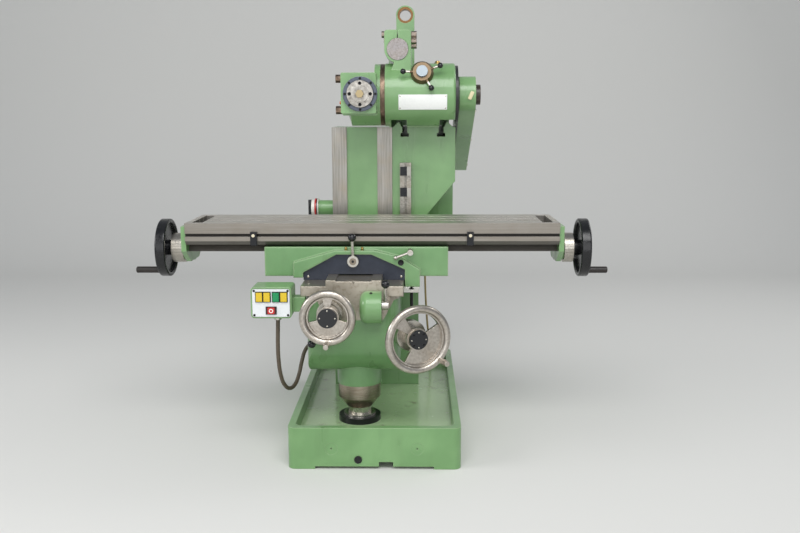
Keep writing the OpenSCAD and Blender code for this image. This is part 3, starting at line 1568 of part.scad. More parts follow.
// Ram: drum, body over the column, overarm clamp and the belt guard's back plate
module ram() {
    channel_w = ridge_out_w + channel_out + (ridge_pitch - top_slot_pitch + top_slot_neck_w) / 2;
    color("#76A066") difference() {
        union() {
            translate([ram_left_x, swivel_y, swivel_z]) rotate([0, 90, 0]) rotate_extrude() {
                square([drum_r - drum_round_r, ram_right_x - ram_left_x]);
                square([drum_r, drum_right_x - ram_left_x - drum_round_r]);
                translate([drum_r - drum_round_r, drum_right_x - ram_left_x - drum_round_r])
                    circle(drum_round_r);
            }
            block(ram_body_x0, ram_body_x1, swivel_y, ram_body_back_y, ram_foot_z, ram_body_top_z);
            extrude_y(clamp_front_y, clamp_back_y) clamp_outline();
            extrude_x(ram_right_x, guard_x0) belt_outline(guard_r);
            on_star_axis() translate([0, 0, -star_pin_l]) cylinder(h = star_pin_l,
                r = star_hub_r - star_boss_step);
            for (y = clamp_bolt_ys) {
                hex_x(clamp_x1, clamp_x1 + clamp_bolt_head_l, y, clamp_bolt_z, clamp_bolt_head_r);
                hex_x(clamp_x1, clamp_x1 + clamp_bolt_head_l, y, clamp_bolt_low_z, clamp_bolt_r);
                hex_x(clamp_x0 - clamp_bolt_head_l / 2, clamp_x0, y, clamp_bolt_z, clamp_bolt_head_r);
            }
        }
        for (side = [0, 1]) translate([ram_way_x, 0, 0]) mirror([side, 0, 0])
            block(-ridge_pitch / 2 - ridge_out_w - channel_out,
            -ridge_pitch / 2 - ridge_out_w - channel_out + channel_w,
                swivel_y - drum_r - overrun, ram_body_back_y - channel_end_wall, ram_foot_z - overrun,
                channel_roof_z);
        rod_y(clamp_front_y - overrun, clamp_back_y + overrun, overarm_x, overarm_z, overarm_r + shaft_gap);
        block(overarm_x - clamp_slit_w / 2, overarm_x + clamp_slit_w / 2, clamp_front_y - overrun,
            clamp_back_y + overrun, overarm_z, clamp_top_z + overrun);
        rod_x(ram_left_x - overrun, guard_x0 + overrun, swivel_y, swivel_z, shaft_r + shaft_gap);
        rod_x(ram_right_x - overrun, guard_x0 + overrun, motor_y, motor_z, motor_shaft_r + shaft_gap);
        on_star_axis() translate([0, 0, -star_pin_l]) cylinder(h = star_pin_l + overrun,
            r = star_pin_r + shaft_gap);
    }
}

// Blank nameplate bent round the drum's front
module nameplate() {
    color("#E4E3DC") intersection() {
        difference() {
            rod_x(ram_left_x, ram_right_x, swivel_y, swivel_z, drum_r + plate_t);
            rod_x(ram_left_x - overrun, ram_right_x + overrun, swivel_y, swivel_z, drum_r);
        }
        block(plate_x - plate_w / 2, plate_x + plate_w / 2, swivel_y - 2 * drum_r, swivel_y,
            plate_z - plate_h / 2, plate_z + plate_h / 2);
    }
}

// Star handle that clamps the ram
module star_handle() {
    color("#B9B4AA") on_star_axis() union() {
        translate([0, 0, slide_gap]) cylinder(h = star_hub_l, r1 = star_hub_r,
            r2 = star_hub_r * star_cone_share);
        translate([0, 0, slide_gap + star_hub_l]) cylinder(h = star_cap_l, r = star_cap_r);
        translate([0, 0, -star_pin_l + overrun]) cylinder(h = star_pin_l, r = star_pin_r);
        for (angle = star_arm_angles) rotate([0, 0, angle])
            ball_lever([0, 0, star_hub_l / 2], [star_arm_l, 0, star_hub_l], star_arm_r, star_ball_r);
    }
}

// Overarm bar
module overarm_bar() {
    color("#B1ABA0") rod_y(overarm_front_y, overarm_front_y + overarm_l, overarm_x, overarm_z, overarm_r);
}

// Arbor support on the overarm's rear end, its eye turned up
module arbor_support() {
    color("#7FA469") difference() {
        extrude_y(support_y0, support_y0 + support_l) {
            translate([overarm_x, overarm_z]) circle(support_hub_r);
            translate(support_eye) circle(support_eye_r);
            translate([support_eye[0] - support_arm_w / 2, overarm_z])
                square([support_arm_w, support_eye[1] - overarm_z]);
        }
        rod_y(support_y0 - overrun, support_y0 + support_l + overrun, overarm_x, overarm_z,
            overarm_r + shaft_gap);
        rod_y(support_y0 - overrun, support_y0 + support_l + overrun, support_eye[0], support_eye[1],
            support_bush_r);
    }
}

// Bush in the arbor support's eye
module arbor_bush() {
    color("#8C7B5E") difference() {
        rod_y(support_y0, support_y0 + support_l, support_eye[0], support_eye[1], support_bush_r);
        rod_y(support_y0 - overrun, support_y0 + support_l + overrun, support_eye[0], support_eye[1],
            support_bore_r);
    }
}

// Length of the head's housing from a front plane back, with its own depth below the axis
module head_box(from_y, down) {
    translate([(head_block_x0 + head_block_x1) / 2, 0, swivel_z + (head_block_up - down) / 2])
        extrude_y(from_y, swivel_y + head_block_back)
        round_rect(head_block_x1 - head_block_x0, head_block_up + down, head_corner_r);
}

// Head: swivel flange, rounded belly, spindle housing and bearing cap
module head() {
    front_y = swivel_y - head_block_front;
    tail_y = swivel_y + head_block_back - head_wall;
    gear_room_r = bevel_far + gear_room;
    color("#7FA469") difference() {
        union() {
            difference() {
                union() {
                    rod_x(head_drum_x0, head_drum_x1, swivel_y, swivel_z, head_drum_r);
                    translate([head_drum_x0 - head_cone_l, swivel_y, swivel_z]) rotate([0, 90, 0])
                        cylinder(h = head_cone_l, r1 = head_cone_r, r2 = head_drum_r);
                }
                block(head_drum_x0 - head_cone_l - overrun, head_drum_x1 - head_flange_l,
                    swivel_y - head_drum_r - overrun, swivel_y + head_drum_r + overrun,
                    swivel_z, swivel_z + head_drum_r + overrun);
            }
            head_box(front_y, head_block_down);
            head_box(swivel_y - head_heel_reach, head_heel_down);
            rod_y(front_y - cap_l, front_y, spindle_x, swivel_z, cap_r);
        }
        rod_y(front_y - cap_l - overrun, front_y + overrun, spindle_x, swivel_z, cap_bore_r);
        rod_y(front_y, tail_y, spindle_x, swivel_z, bearing_r + shaft_gap);
        rod_y(swivel_y + bevel_near - gear_room, swivel_y + bevel_far + gear_room, spindle_x, swivel_z,
            gear_room_r);
        rod_x(spindle_x, spindle_x + bevel_far + gear_room, swivel_y, swivel_z, gear_room_r);
        rod_x(spindle_x, head_drum_x1 + overrun, swivel_y, swivel_z, shaft_r + shaft_gap);
    }
}

// Graduated swivel ring between head and ram, and the head's clamping bolts
module swivel_ring() {
    color("#A39C90") {
        difference() {
            rod_x(head_drum_x1, head_x1, swivel_y, swivel_z, head_drum_r);
            rod_x(head_drum_x1 - overrun, head_x1 + overrun, swivel_y, swivel_z, shaft_r + shaft_gap);
        }
        for (z = head_bolt_zs) hex_x(head_block_x0 - head_bolt_l, head_block_x0, head_bolt_y, z,
            head_bolt_r);
    }
}

// Spindle with its nose, bearings and bevel gear
module spindle() {
    nose_y = swivel_y - nose_reach;
    front_y = swivel_y - head_block_front;
    tail_y = swivel_y + spindle_tail;
    color("#B5B2AC") difference() {
        union() {
            rod_y(nose_y, nose_y + nose_l, spindle_x, swivel_z, nose_r);
            rod_y(nose_y, front_y, spindle_x, swivel_z, nose_r - nose_step);
            rod_y(nose_y, tail_y, spindle_x, swivel_z, spindle_r);
            rod_y(front_y, front_y + bearing_l, spindle_x, swivel_z, bearing_r);
            rod_y(tail_y - bearing_l, tail_y, spindle_x, swivel_z, bearing_r);
            translate([spindle_x, swivel_y + bevel_near, swivel_z]) rotate([-90, 0, 0])
                cylinder(h = bevel_far - bevel_near, r1 = bevel_near - bevel_gap,
                r2 = bevel_far - bevel_gap);
            rod_y(nose_y - nose_plug_l, nose_y, spindle_x, swivel_z, nose_plug_r);
            translate([spindle_x, nose_y - nose_plug_l, swivel_z]) rotate([90, 0, 0])
                cylinder(h = nose_nut_l, r = nose_nut_r, $fn = 6);
        }
        for (k = [0 : 3]) rod_y(nose_y - overrun, nose_y + nose_hole_d,
            spindle_x + nose_pcd / 2 * cos(90 * k),
            swivel_z + nose_pcd / 2 * sin(90 * k), nose_hole_r);
    }
}

// Drive shaft on the swivel axis with its bevel gear, pulley and end disc
module drive_shaft() {
    pulley_x = guard_x0 + (guard_x1 - guard_x0 - guard_wall - pulley_l) / 2;
    color("#8A8780") union() {
        rod_x(spindle_x + bevel_near, guard_x1 + slide_gap, swivel_y, swivel_z, shaft_r);
        translate([spindle_x + bevel_near, swivel_y, swivel_z]) rotate([0, 90, 0])
            cylinder(h = bevel_far - bevel_near, r1 = bevel_near - bevel_gap, r2 = bevel_far - bevel_gap);
        rod_x(pulley_x, pulley_x + pulley_l, swivel_y, swivel_z, pulley_r);
        rod_x(guard_x1 + slide_gap, guard_x1 + slide_gap + guard_disc_l, swivel_y, swivel_z, guard_disc_r);
    }
}

// Belt round both pulleys
module drive_belt() {
    middle_x = (guard_x0 + guard_x1 - guard_wall) / 2;
    color("#202022") difference() {
        extrude_x(middle_x - belt_w / 2, middle_x + belt_w / 2) belt_outline(pulley_r + belt_t);
        extrude_x(middle_x - belt_w, middle_x + belt_w) belt_outline(pulley_r + slide_gap);
    }
}

// Belt guard, open towards the ram's back plate
module belt_guard() {
    color("#76A066") difference() {
        extrude_x(guard_x0, guard_x1) belt_outline(guard_r);
        extrude_x(guard_x0 - overrun, guard_x1 - guard_wall) belt_outline(guard_r - guard_wall);
        rod_x(guard_x0, guard_x1 + overrun, swivel_y, swivel_z, shaft_r + shaft_gap);
    }
}

// Motor on the back plate, behind the column
module motor() {
    color("#6F9A62") difference() {
        union() {
            rod_x(ram_right_x - motor_l, ram_right_x, motor_y, motor_z, motor_r - motor_fin_h);
            rod_x(ram_right_x - motor_flange_l, ram_right_x, motor_y, motor_z, motor_r);
            for (k = [0 : motor_fin_count - 1]) translate([ram_right_x - motor_l + motor_flange_l,
                motor_y, motor_z])
                rotate([360 * k / motor_fin_count, 0, 0]) translate([0, -motor_fin_w / 2, 0])
                cube([motor_l - 2 * motor_flange_l, motor_fin_w, motor_r]);
        }
        rod_x(ram_right_x - motor_l / 2, ram_right_x + overrun, motor_y, motor_z,
            motor_shaft_r + shaft_gap);
    }
}

// Motor shaft with its pulley
module motor_rotor() {
    pulley_x = guard_x0 + (guard_x1 - guard_x0 - guard_wall - pulley_l) / 2;
    color("#8A8780") union() {
        rod_x(ram_right_x - motor_l / 2 + overrun, pulley_x + pulley_l, motor_y, motor_z, motor_shaft_r);
        rod_x(pulley_x, pulley_x + pulley_l, motor_y, motor_z, pulley_r);
    }
}

base();
column();
column_ways();
trip_rail();
trip_dog_upper();
trip_dog_lower();
drain_plug();
isolator_body();
isolator_knob();
cable_glands();
power_cable();
lift_screw();
lift_nut();
knee();
stop_rail();
feed_drum();
cross_feed_lever();
lift_feed_lever();
cross_wheel();
cross_grip();
cross_screw();
lift_wheel();
lift_grip();
lift_shaft();
control_box();
control_panel();
button_frames();
button_left();
button_right();
button_start();
button_jog();
button_stop();
conduit_glands();
conduit();
saddle();
saddle_wiper();
table_feed_lever();
table_clamp_lever();
table();
table_brackets();
table_dog_left();
table_dog_right();
table_screw();
table_wheels();
table_grip_left();
table_grip_right();
ram();
nameplate();
star_handle();
overarm_bar();
arbor_support();
arbor_bush();
head();
swivel_ring();
spindle();
drive_shaft();
drive_belt();
belt_guard();
motor();
motor_rotor();
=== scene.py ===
# %% [markdown]
# # A knee milling machine
#
# The machine is an old green mill: a cast base, a tall column, a knee that climbs the column, a saddle
# and a long table on the knee, and a swivelling head on a ram at the top. Its solids arrive as a fixed
# frame, already in metres and in place, so this file only dresses them: finishes, cords, screws and the
# other small things that a workshop photograph shows.

# %% Load the solids
import math
import bmesh
import bpy
from mathutils import Matrix, Vector


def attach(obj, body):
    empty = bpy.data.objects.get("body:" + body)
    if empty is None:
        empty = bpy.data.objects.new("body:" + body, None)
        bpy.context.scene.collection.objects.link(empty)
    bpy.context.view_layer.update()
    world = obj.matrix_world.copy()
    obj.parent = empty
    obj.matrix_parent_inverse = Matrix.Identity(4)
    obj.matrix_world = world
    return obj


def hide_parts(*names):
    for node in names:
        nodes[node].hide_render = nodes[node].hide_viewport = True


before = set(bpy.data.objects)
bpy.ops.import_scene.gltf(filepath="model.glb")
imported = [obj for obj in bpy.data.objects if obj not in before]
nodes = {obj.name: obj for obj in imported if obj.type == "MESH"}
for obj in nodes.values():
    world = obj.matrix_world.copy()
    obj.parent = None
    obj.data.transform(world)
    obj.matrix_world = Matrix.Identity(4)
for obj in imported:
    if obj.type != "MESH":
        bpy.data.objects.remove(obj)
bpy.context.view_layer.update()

# %% [markdown]
# ## The viewpoint
#
# The picture was taken from nearly four metres in front of the column, a little above the table, with the
# camera tilted down by nine and a half degrees. A camera in Blender looks along its own minus Z, so its
# turn is built from three directions, right, up and back, rather than from guessed angles.

# %% Camera
CAMERA_PLACE = Vector((0.1529, -3.6292, 1.2593))
CAMERA_YAW = 0.019
CAMERA_PITCH = -0.167
CAMERA_ROLL = -0.003
LENS_MM = 40.5
SENSOR_MM = 36
FAR_CLIP_M = 60

forward = Vector((-math.sin(CAMERA_YAW) * math.cos(CAMERA_PITCH),
                  math.cos(CAMERA_YAW) * math.cos(CAMERA_PITCH), math.sin(CAMERA_PITCH)))
level_right = Vector((math.cos(CAMERA_YAW), math.sin(CAMERA_YAW), 0))
level_up = level_right.cross(forward)
camera_right = level_right * math.cos(CAMERA_ROLL) + level_up * math.sin(CAMERA_ROLL)
camera_up = level_up * math.cos(CAMERA_ROLL) - level_right * math.sin(CAMERA_ROLL)

camera_data = bpy.data.cameras.new("front_camera")
camera_data.sensor_width = SENSOR_MM
camera_data.lens = LENS_MM
camera_data.clip_end = FAR_CLIP_M
camera = bpy.data.objects.new("front_camera", camera_data)
turn = Matrix((camera_right, camera_up, -forward)).transposed().to_4x4()
camera.matrix_world = Matrix.Translation(CAMERA_PLACE) @ turn
bpy.context.scene.collection.objects.link(camera)
bpy.context.scene.camera = camera
print("camera stands", round(CAMERA_PLACE.length, 2), "m from the frame's origin")

# %% [markdown]
# ## Colours and nodes
#
# Colours are written the way a paint chart or a screen gives them, as sRGB hex. Blender's shaders work
# in linear light, so one function converts them. A second small function adds a shader node, sets its
# options, and fills its sockets, with a link where the value is another node's output. A Mix node has
# sockets for every kind of value, so they go by number: 0 is the share, 6 and 7 are the two colours, 2 and
# 3 are two plain numbers, and the mixed colour comes out at output 2.

# %% Two helpers for materials
MATH = "ShaderNodeMath"
VECTOR_MATH = "ShaderNodeVectorMath"
NOISE = "ShaderNodeTexNoise"
MAP_RANGE = "ShaderNodeMapRange"
MIX = "ShaderNodeMix"
COORDINATES = "ShaderNodeTexCoord"


def linear(hex_colour):
    channels = [int(hex_colour[i:i + 2], 16) / 255 for i in (1, 3, 5)]
    straight = [c / 12.92 if c <= 0.04045 else ((c + 0.055) / 1.055) ** 2.4 for c in channels]
    return (*straight, 1.0)


def add_node(tree, kind, sockets=None, **settings):
    node = tree.nodes.new(kind)
    for name, value in settings.items():
        setattr(node, name, value)
    for name, value in (sockets or {}).items():
        if isinstance(value, bpy.types.NodeSocket):
            tree.links.new(value, node.inputs[name])
        else:
            node.inputs[name].default_value = value
    return node


print("mid green in linear light:", [round(c, 3) for c in linear("#7FA469")])

# %% [markdown]
# ## Floor and light
#
# The studio is a pale floor that sweeps up into a wall behind the machine, so no horizon line crosses
# the picture. A sweep is one profile pulled sideways: a few points, an extrude, and smooth shading.

# %% Floor and wall
FLOOR_FRONT = -7.0
FLOOR_BACK = 3.4
SWEEP_R = 1.6
SWEEP_STEPS = 12
WALL_TOP = 6.0
STUDIO_HALF = 7.0

sweep = bmesh.new()
profile = [sweep.verts.new((-STUDIO_HALF, FLOOR_FRONT, 0)),
           sweep.verts.new((-STUDIO_HALF, FLOOR_BACK, 0))]
for step in range(1, SWEEP_STEPS + 1):
    angle = math.pi / 2 * step / SWEEP_STEPS
    profile.append(sweep.verts.new((-STUDIO_HALF, FLOOR_BACK + SWEEP_R * math.sin(angle),
                                    SWEEP_R - SWEEP_R * math.cos(angle))))
profile.append(sweep.verts.new((-STUDIO_HALF, FLOOR_BACK + SWEEP_R, WALL_TOP)))
edges = [sweep.edges.new(pair) for pair in zip(profile, profile[1:])]
pulled = bmesh.ops.extrude_edge_only(sweep, edges=edges)
moved = [v for v in pulled["geom"] if isinstance(v, bmesh.types.BMVert)]
bmesh.ops.translate(sweep, verts=moved, vec=(2 * STUDIO_HALF, 0, 0))
bmesh.ops.recalc_face_normals(sweep, faces=sweep.faces)
for face in sweep.faces:
    face.smooth = True
sweep_mesh = bpy.data.meshes.new("studio_sweep")
sweep.to_mesh(sweep_mesh)
sweep.free()
studio = bpy.data.objects.new("studio_sweep", sweep_mesh)
bpy.context.scene.collection.objects.link(studio)

paper = bpy.data.materials.new("matt studio paper")
paper.use_nodes = True
paper_shader = paper.node_tree.nodes["Principled BSDF"]
paper_shader.inputs["Base Color"].default_value = linear("#D9D8D4")
paper_shader.inputs["Roughness"].default_value = 0.9
studio.data.materials.append(paper)
print("studio sweep has", len(sweep_mesh.polygons), "faces")

# %% [markdown]
# Large soft lamps do the work of ceiling tubes: one above and in front, one from the left and one from the
# right rear that gives the round parts an edge. Polished metal shows what stands before it, so a wide dim
# panel hangs behind the camera for the wheels and ways to mirror. The world adds an even grey fill.

# %% Lamps
LAMP_HEIGHT_SHARE = 0.6
FILL_STRENGTH = 0.5


def soft_lamp(name, place, target, width, watts):
    data = bpy.data.lights.new(name, "AREA")
    data.shape = "RECTANGLE"
    data.size = width
    data.size_y = width * LAMP_HEIGHT_SHARE
    data.energy = watts
    lamp = bpy.data.objects.new(name, data)
    aim = (Vector(target) - Vector(place)).to_track_quat("-Z", "Y")
    lamp.matrix_world = Matrix.Translation(place) @ aim.to_matrix().to_4x4()
    bpy.context.scene.collection.objects.link(lamp)


soft_lamp("ceiling_front", (0.3, -3.4, 4.4), (0, -0.1, 0.8), width=4.0, watts=165)
soft_lamp("left_window", (-4.2, -1.8, 2.6), (0, 0, 0.9), width=2.6, watts=70)
soft_lamp("right_edge", (3.8, 1.4, 3.4), (0, 0, 1.0), width=2.2, watts=45)
soft_lamp("front_panel", (0, -7.5, 2.2), (0, 0, 1.2), width=7.0, watts=150)

world = bpy.data.worlds.new("grey fill")
world.use_nodes = True
fill = world.node_tree.nodes["Background"]
fill.inputs["Color"].default_value = linear("#CDD3DB")
fill.inputs["Strength"].default_value = FILL_STRENGTH
bpy.context.scene.world = world
bpy.context.scene.view_settings.view_transform = "Standard"

# %% [markdown]
# ## Cords
#
# Two cords are fixed at both ends: the sheathed conduit that loops from the push-button box to the knee,
# and the supply cable that drops from the column's shoulder to the base. Each is a curve through the same
# points as its solid, given a round thickness: the bevel is one unit, and each point's radius scales it
# to the cord's own. Automatic handles keep the bends smooth.

# %% Conduit and supply cable
CONDUIT_ROUTE_MM = [(-350, -455, 530), (-351, -455, 500), (-353, -453, 440), (-353, -446, 375),
                    (-349, -430, 315), (-340, -405, 270), (-326, -370, 245), (-311, -330, 248),
                    (-299, -297, 280), (-290, -274, 325), (-278, -256, 364), (-262, -246, 384)]
CABLE_ROUTE_MM = [(190, 412, 649), (190, 412, 600), (190, 412, 544), (191, 412, 500), (194, 412, 420),
                  (199, 412, 340), (206, 412, 260), (212, 412, 190), (214, 412, 120)]
CONDUIT_M = 0.015
CABLE_M = 0.009


def hang_cord(name, route_mm, diameter, body):
    data = bpy.data.curves.new(name, "CURVE")
    data.dimensions = "3D"
    data.bevel_depth = 1.0
    data.bevel_resolution = 4
    data.use_fill_caps = True
    data.resolution_u = 8
    spline = data.splines.new("BEZIER")
    spline.bezier_points.add(len(route_mm) - 1)
    for point, place in zip(spline.bezier_points, route_mm):
        point.co = Vector(place) / 1000
        point.radius = diameter / 2
        point.handle_left_type = "AUTO"
        point.handle_right_type = "AUTO"
    piece = bpy.data.objects.new(name, data)
    bpy.context.scene.collection.objects.link(piece)
    bpy.context.view_layer.update()
    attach(piece, body)
    return piece


conduit_cord = hang_cord("conduit_cord", CONDUIT_ROUTE_MM, CONDUIT_M, "knee")
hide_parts("conduit")
supply_cord = hang_cord("supply_cord", CABLE_ROUTE_MM, CABLE_M, "frame")
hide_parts("power_cable")

# %% [markdown]
# ## Green machine enamel
#
# The castings wear a mid-green oil enamel, sprayed over filler. Up close it has a slight orange peel,
# patches a little lighter where it was touched up, and faint oily runs. Casting edges are never sharp,
# so a Bevel node rounds the shading at every edge without touching the mesh, and the difference between
# that rounded normal and the true one marks the edges, where the paint is thin and pale. A clear coat on
# top gives the wet highlights that make enamel look deep.

# %% Enamel
GREEN = "#6F9862"
PALE_GREEN = "#7AA36C"
OILY_GREEN = "#5B7A4D"


def enamel(name, main=GREEN, light=PALE_GREEN, oily=OILY_GREEN, worn="#A9C095", edge_mm=5):
    material = bpy.data.materials.new(name)
    material.use_nodes = True
    tree = material.node_tree
    shader = tree.nodes["Principled BSDF"]
    place = add_node(tree, COORDINATES).outputs["Object"]
    # Touched-up patches are about a hand wide
    patches = add_node(tree, NOISE, {"Vector": place, "Scale": 1 / 0.16, "Detail": 3.0})
    patch_mask = add_node(tree, MAP_RANGE,
                          {"Value": patches.outputs["Fac"], "From Min": 0.42, "From Max": 0.66})
    paint = add_node(tree, MIX,
                     {0: patch_mask.outputs["Result"], 6: linear(main), 7: linear(light)},
                     data_type="RGBA")
    # Runs of old oil are taller than wide, about 60 mm across
    stretched = add_node(tree, "ShaderNodeMapping",
                         {"Vector": place, "Scale": (1 / 0.06, 1 / 0.06, 1 / 0.25)})
    runs = add_node(tree, NOISE,
                    {"Vector": stretched.outputs["Vector"], "Scale": 1.0, "Detail": 2.0})
    run_mask = add_node(tree, MAP_RANGE,
                        {"Value": runs.outputs["Fac"], "From Min": 0.5, "From Max": 0.8, "To Max": 0.35})
    stained = add_node(tree, MIX,
                       {0: run_mask.outputs["Result"], 6: paint.outputs[2], 7: linear(oily)},
                       data_type="RGBA")
    # The paint on the rounded edges is rubbed paler; where the edge colour is set light, as on the saddle,
    # it is a painted highlight
    rounded = add_node(tree, "ShaderNodeBevel", {"Radius": edge_mm / 1000}, samples=6)
    true_normal = add_node(tree, "ShaderNodeNewGeometry").outputs["Normal"]
    facing = add_node(tree, VECTOR_MATH, {0: rounded.outputs["Normal"], 1: true_normal},
                      operation="DOT_PRODUCT")
    edge = add_node(tree, MAP_RANGE,
                    {"Value": facing.outputs["Value"], "From Min": 0.985, "From Max": 0.88, "To Max": 0.5})
    edged = add_node(tree, MIX,
                     {0: edge.outputs["Result"], 6: stained.outputs[2], 7: linear(worn)}, data_type="RGBA")
    tree.links.new(edged.outputs[2], shader.inputs["Base Color"])
    gloss = add_node(tree, MAP_RANGE,
                     {"Value": runs.outputs["Fac"], "From Min": 0.3, "From Max": 0.75, "To Min": 0.4,
                      "To Max": 0.24})
    tree.links.new(gloss.outputs["Result"], shader.inputs["Roughness"])
    # Orange peel is 2 mm across on the real paint; 9 mm here, so that it shows at this distance
    peel = add_node(tree, NOISE, {"Vector": place, "Scale": 1 / 0.009, "Detail": 2.0})
    bump = add_node(tree, "ShaderNodeBump",
                    {"Height": peel.outputs["Fac"], "Strength": 0.12, "Distance": 0.002,
                     "Normal": rounded.outputs["Normal"]})
    tree.links.new(bump.outputs["Normal"], shader.inputs["Normal"])
    shader.inputs["Coat Weight"].default_value = 0.35
    shader.inputs["Coat Roughness"].default_value = 0.12
    return material


def dress(material, *names):
    for name in names:
        mesh = nodes[name].data
        mesh.materials.clear()
        mesh.materials.append(material)


green = enamel("green machine enamel on cast iron")
dress(green, "column", "feed_drum", "control_box", "table_brackets", "belt_guard", "arbor_support")
print("enamel covers the main castings")

# %% [markdown]
# ## Bare metals
#
# Steel and iron on the machine were ground, scraped, turned or polished, and each leaves its own streaks.
# One function makes them all: noise stretched along the direction of the tool gives the streaks, and a
# broad noise gives the brown stain of old oil. Clean steel is nearly white; what darkens it in a room is
# the room, so the colours here are light and the stains do the ageing.

# %% Ground, scraped and turned metal
STEEL = "#D3D0C8"
STEEL_SHADE = "#B1ADA3"
OIL_STAIN = "#9C8765"


def bare_metal(name, main=STEEL, dark=STEEL_SHADE, stain=OIL_STAIN, streak_mm=(3, 3, 3), rough=0.28,
               stain_share=0.25, edge_mm=1.2):
    material = bpy.data.materials.new(name)
    material.use_nodes = True
    tree = material.node_tree
    shader = tree.nodes["Principled BSDF"]
    place = add_node(tree, COORDINATES).outputs["Object"]
    stretched = add_node(tree, "ShaderNodeMapping",
                         {"Vector": place, "Scale": [1000 / size for size in streak_mm]})
    streaks = add_node(tree, NOISE,
                       {"Vector": stretched.outputs["Vector"], "Scale": 1.0, "Detail": 5.0,
                        "Roughness": 0.6})
    tone = add_node(tree, MAP_RANGE,
                    {"Value": streaks.outputs["Fac"], "From Min": 0.3, "From Max": 0.7})
    metal = add_node(tree, MIX,
                     {0: tone.outputs["Result"], 6: linear(dark), 7: linear(main)}, data_type="RGBA")
    # Stains are patches about 70 mm across
    clouds = add_node(tree, NOISE, {"Vector": place, "Scale": 1 / 0.07, "Detail": 4.0})
    cloud_mask = add_node(tree, MAP_RANGE,
                          {"Value": clouds.outputs["Fac"], "From Min": 0.45, "From Max": 0.75,
                           "To Max": stain_share})
    stained = add_node(tree, MIX,
                       {0: cloud_mask.outputs["Result"], 6: metal.outputs[2], 7: linear(stain)},
                       data_type="RGBA")
    tree.links.new(stained.outputs[2], shader.inputs["Base Color"])
    shader.inputs["Metallic"].default_value = 1.0
    polish = add_node(tree, MAP_RANGE,
                      {"Value": streaks.outputs["Fac"], "From Min": 0.3, "From Max": 0.7,
                       "To Min": rough + 0.1, "To Max": rough - 0.05})
    tree.links.new(polish.outputs["Result"], shader.inputs["Roughness"])
    rounded = add_node(tree, "ShaderNodeBevel", {"Radius": edge_mm / 1000}, samples=4)
    bump = add_node(tree, "ShaderNodeBump",
                    {"Height": streaks.outputs["Fac"], "Strength": 0.12, "Distance": 0.0008,
                     "Normal": rounded.outputs["Normal"]})
    tree.links.new(bump.outputs["Normal"], shader.inputs["Normal"])
    return material


# Ground ways: fine upright strokes, nearly matt, hardly stained
ways = bare_metal("ground cast iron ways", "#A09D97", "#86837C", streak_mm=(5, 5, 160), rough=0.38)
dress(ways, "column_ways")
# Planed table: strokes along its length, with the brown film that coolant leaves
table_iron = bare_metal("planed table iron, filmed with coolant", "#DEDAD3", "#BEB9B0", "#A28F74",
                        streak_mm=(260, 5, 5), rough=0.36)
dress(table_iron, "table")
# Turned bars and screws: even, bright, fine-grained
turned = bare_metal("turned steel")
dress(turned, "lift_shaft", "motor_rotor", "conduit_glands", "table_clamp_lever")
# Handwheels and their grips: cast aluminium, rubbed bright by hands
WHEEL_FINISH = {"main": "#CBC5BC", "dark": "#AAA298", "stain": "#8F7F6A", "streak_mm": (9, 9, 9),
                "rough": 0.32, "stain_share": 0.3, "edge_mm": 2.5}
wheel_metal = bare_metal("hand-rubbed cast aluminium", **WHEEL_FINISH)
dress(wheel_metal, "cross_grip", "lift_grip")
# Dark bronze bush, dull with old grease
bronze = bare_metal("greased bronze bush", "#8C6A45", "#5C4530", "#3B2E22", rough=0.34, stain_share=0.5)
dress(bronze, "arbor_bush")
# Milled trip rail: short strokes across
rail_metal = bare_metal("milled trip rail", "#A5A29B", "#827F78", streak_mm=(12, 6, 6), rough=0.36)
dress(rail_metal, "trip_rail")
print("bare metals:", ways.name, table_iron.name, turned.name)

# %% [markdown]
# ## Moulded, blacked and painted parts
#
# The table's handwheels and grips are moulded black phenolic, the dogs are blackened steel, and the push
# buttons are glossy moulded plastic behind black frames. Moulded plastic is one colour with a fine
# unevenness, so a gentle noise moves its tint and roughness and a very small bump breaks its reflections.

# %% Moulded plastic, rubber and blackened steel
def moulded(name, main, shade, rough, metallic=0.0, edge_mm=1.0):
    material = bpy.data.materials.new(name)
    material.use_nodes = True
    tree = material.node_tree
    shader = tree.nodes["Principled BSDF"]
    place = add_node(tree, COORDINATES).outputs["Object"]
    # Flow marks in a moulding are about 20 mm apart
    uneven = add_node(tree, NOISE, {"Vector": place, "Scale": 1 / 0.02, "Detail": 4.0})
    tint = add_node(tree, MIX,
                    {0: uneven.outputs["Fac"], 6: linear(main), 7: linear(shade)}, data_type="RGBA")
    tree.links.new(tint.outputs[2], shader.inputs["Base Color"])
    polish = add_node(tree, MAP_RANGE,
                      {"Value": uneven.outputs["Fac"], "From Min": 0.3, "From Max": 0.7,
                       "To Min": rough - 0.06, "To Max": rough + 0.1})
    tree.links.new(polish.outputs["Result"], shader.inputs["Roughness"])
    shader.inputs["Metallic"].default_value = metallic
    rounded = add_node(tree, "ShaderNodeBevel", {"Radius": edge_mm / 1000}, samples=4)
    bump = add_node(tree, "ShaderNodeBump",
                    {"Height": uneven.outputs["Fac"], "Strength": 0.08, "Distance": 0.001,
                     "Normal": rounded.outputs["Normal"]})
    tree.links.new(bump.outputs["Normal"], shader.inputs["Normal"])
    return material


# Phenolic: deep black with a polished skin
phenolic = moulded("polished black phenolic", "#0B0C0E", "#131417", rough=0.22, edge_mm=2.0)
dress(phenolic, "table_wheels", "button_frames", "drain_plug", "cable_glands")
# Worn phenolic grips: browner and duller where hands turn them
grip_phenolic = moulded("hand-worn phenolic grip", "#2A221D", "#15120F", rough=0.36, edge_mm=1.5)
dress(grip_phenolic, "table_grip_left", "table_grip_right")
# Wiper plate: blue-black steel sheet with a film of oil
wiper_steel = moulded("oiled blue-black steel sheet", "#343A47", "#272C37", rough=0.34, metallic=0.35)
dress(wiper_steel, "saddle_wiper")
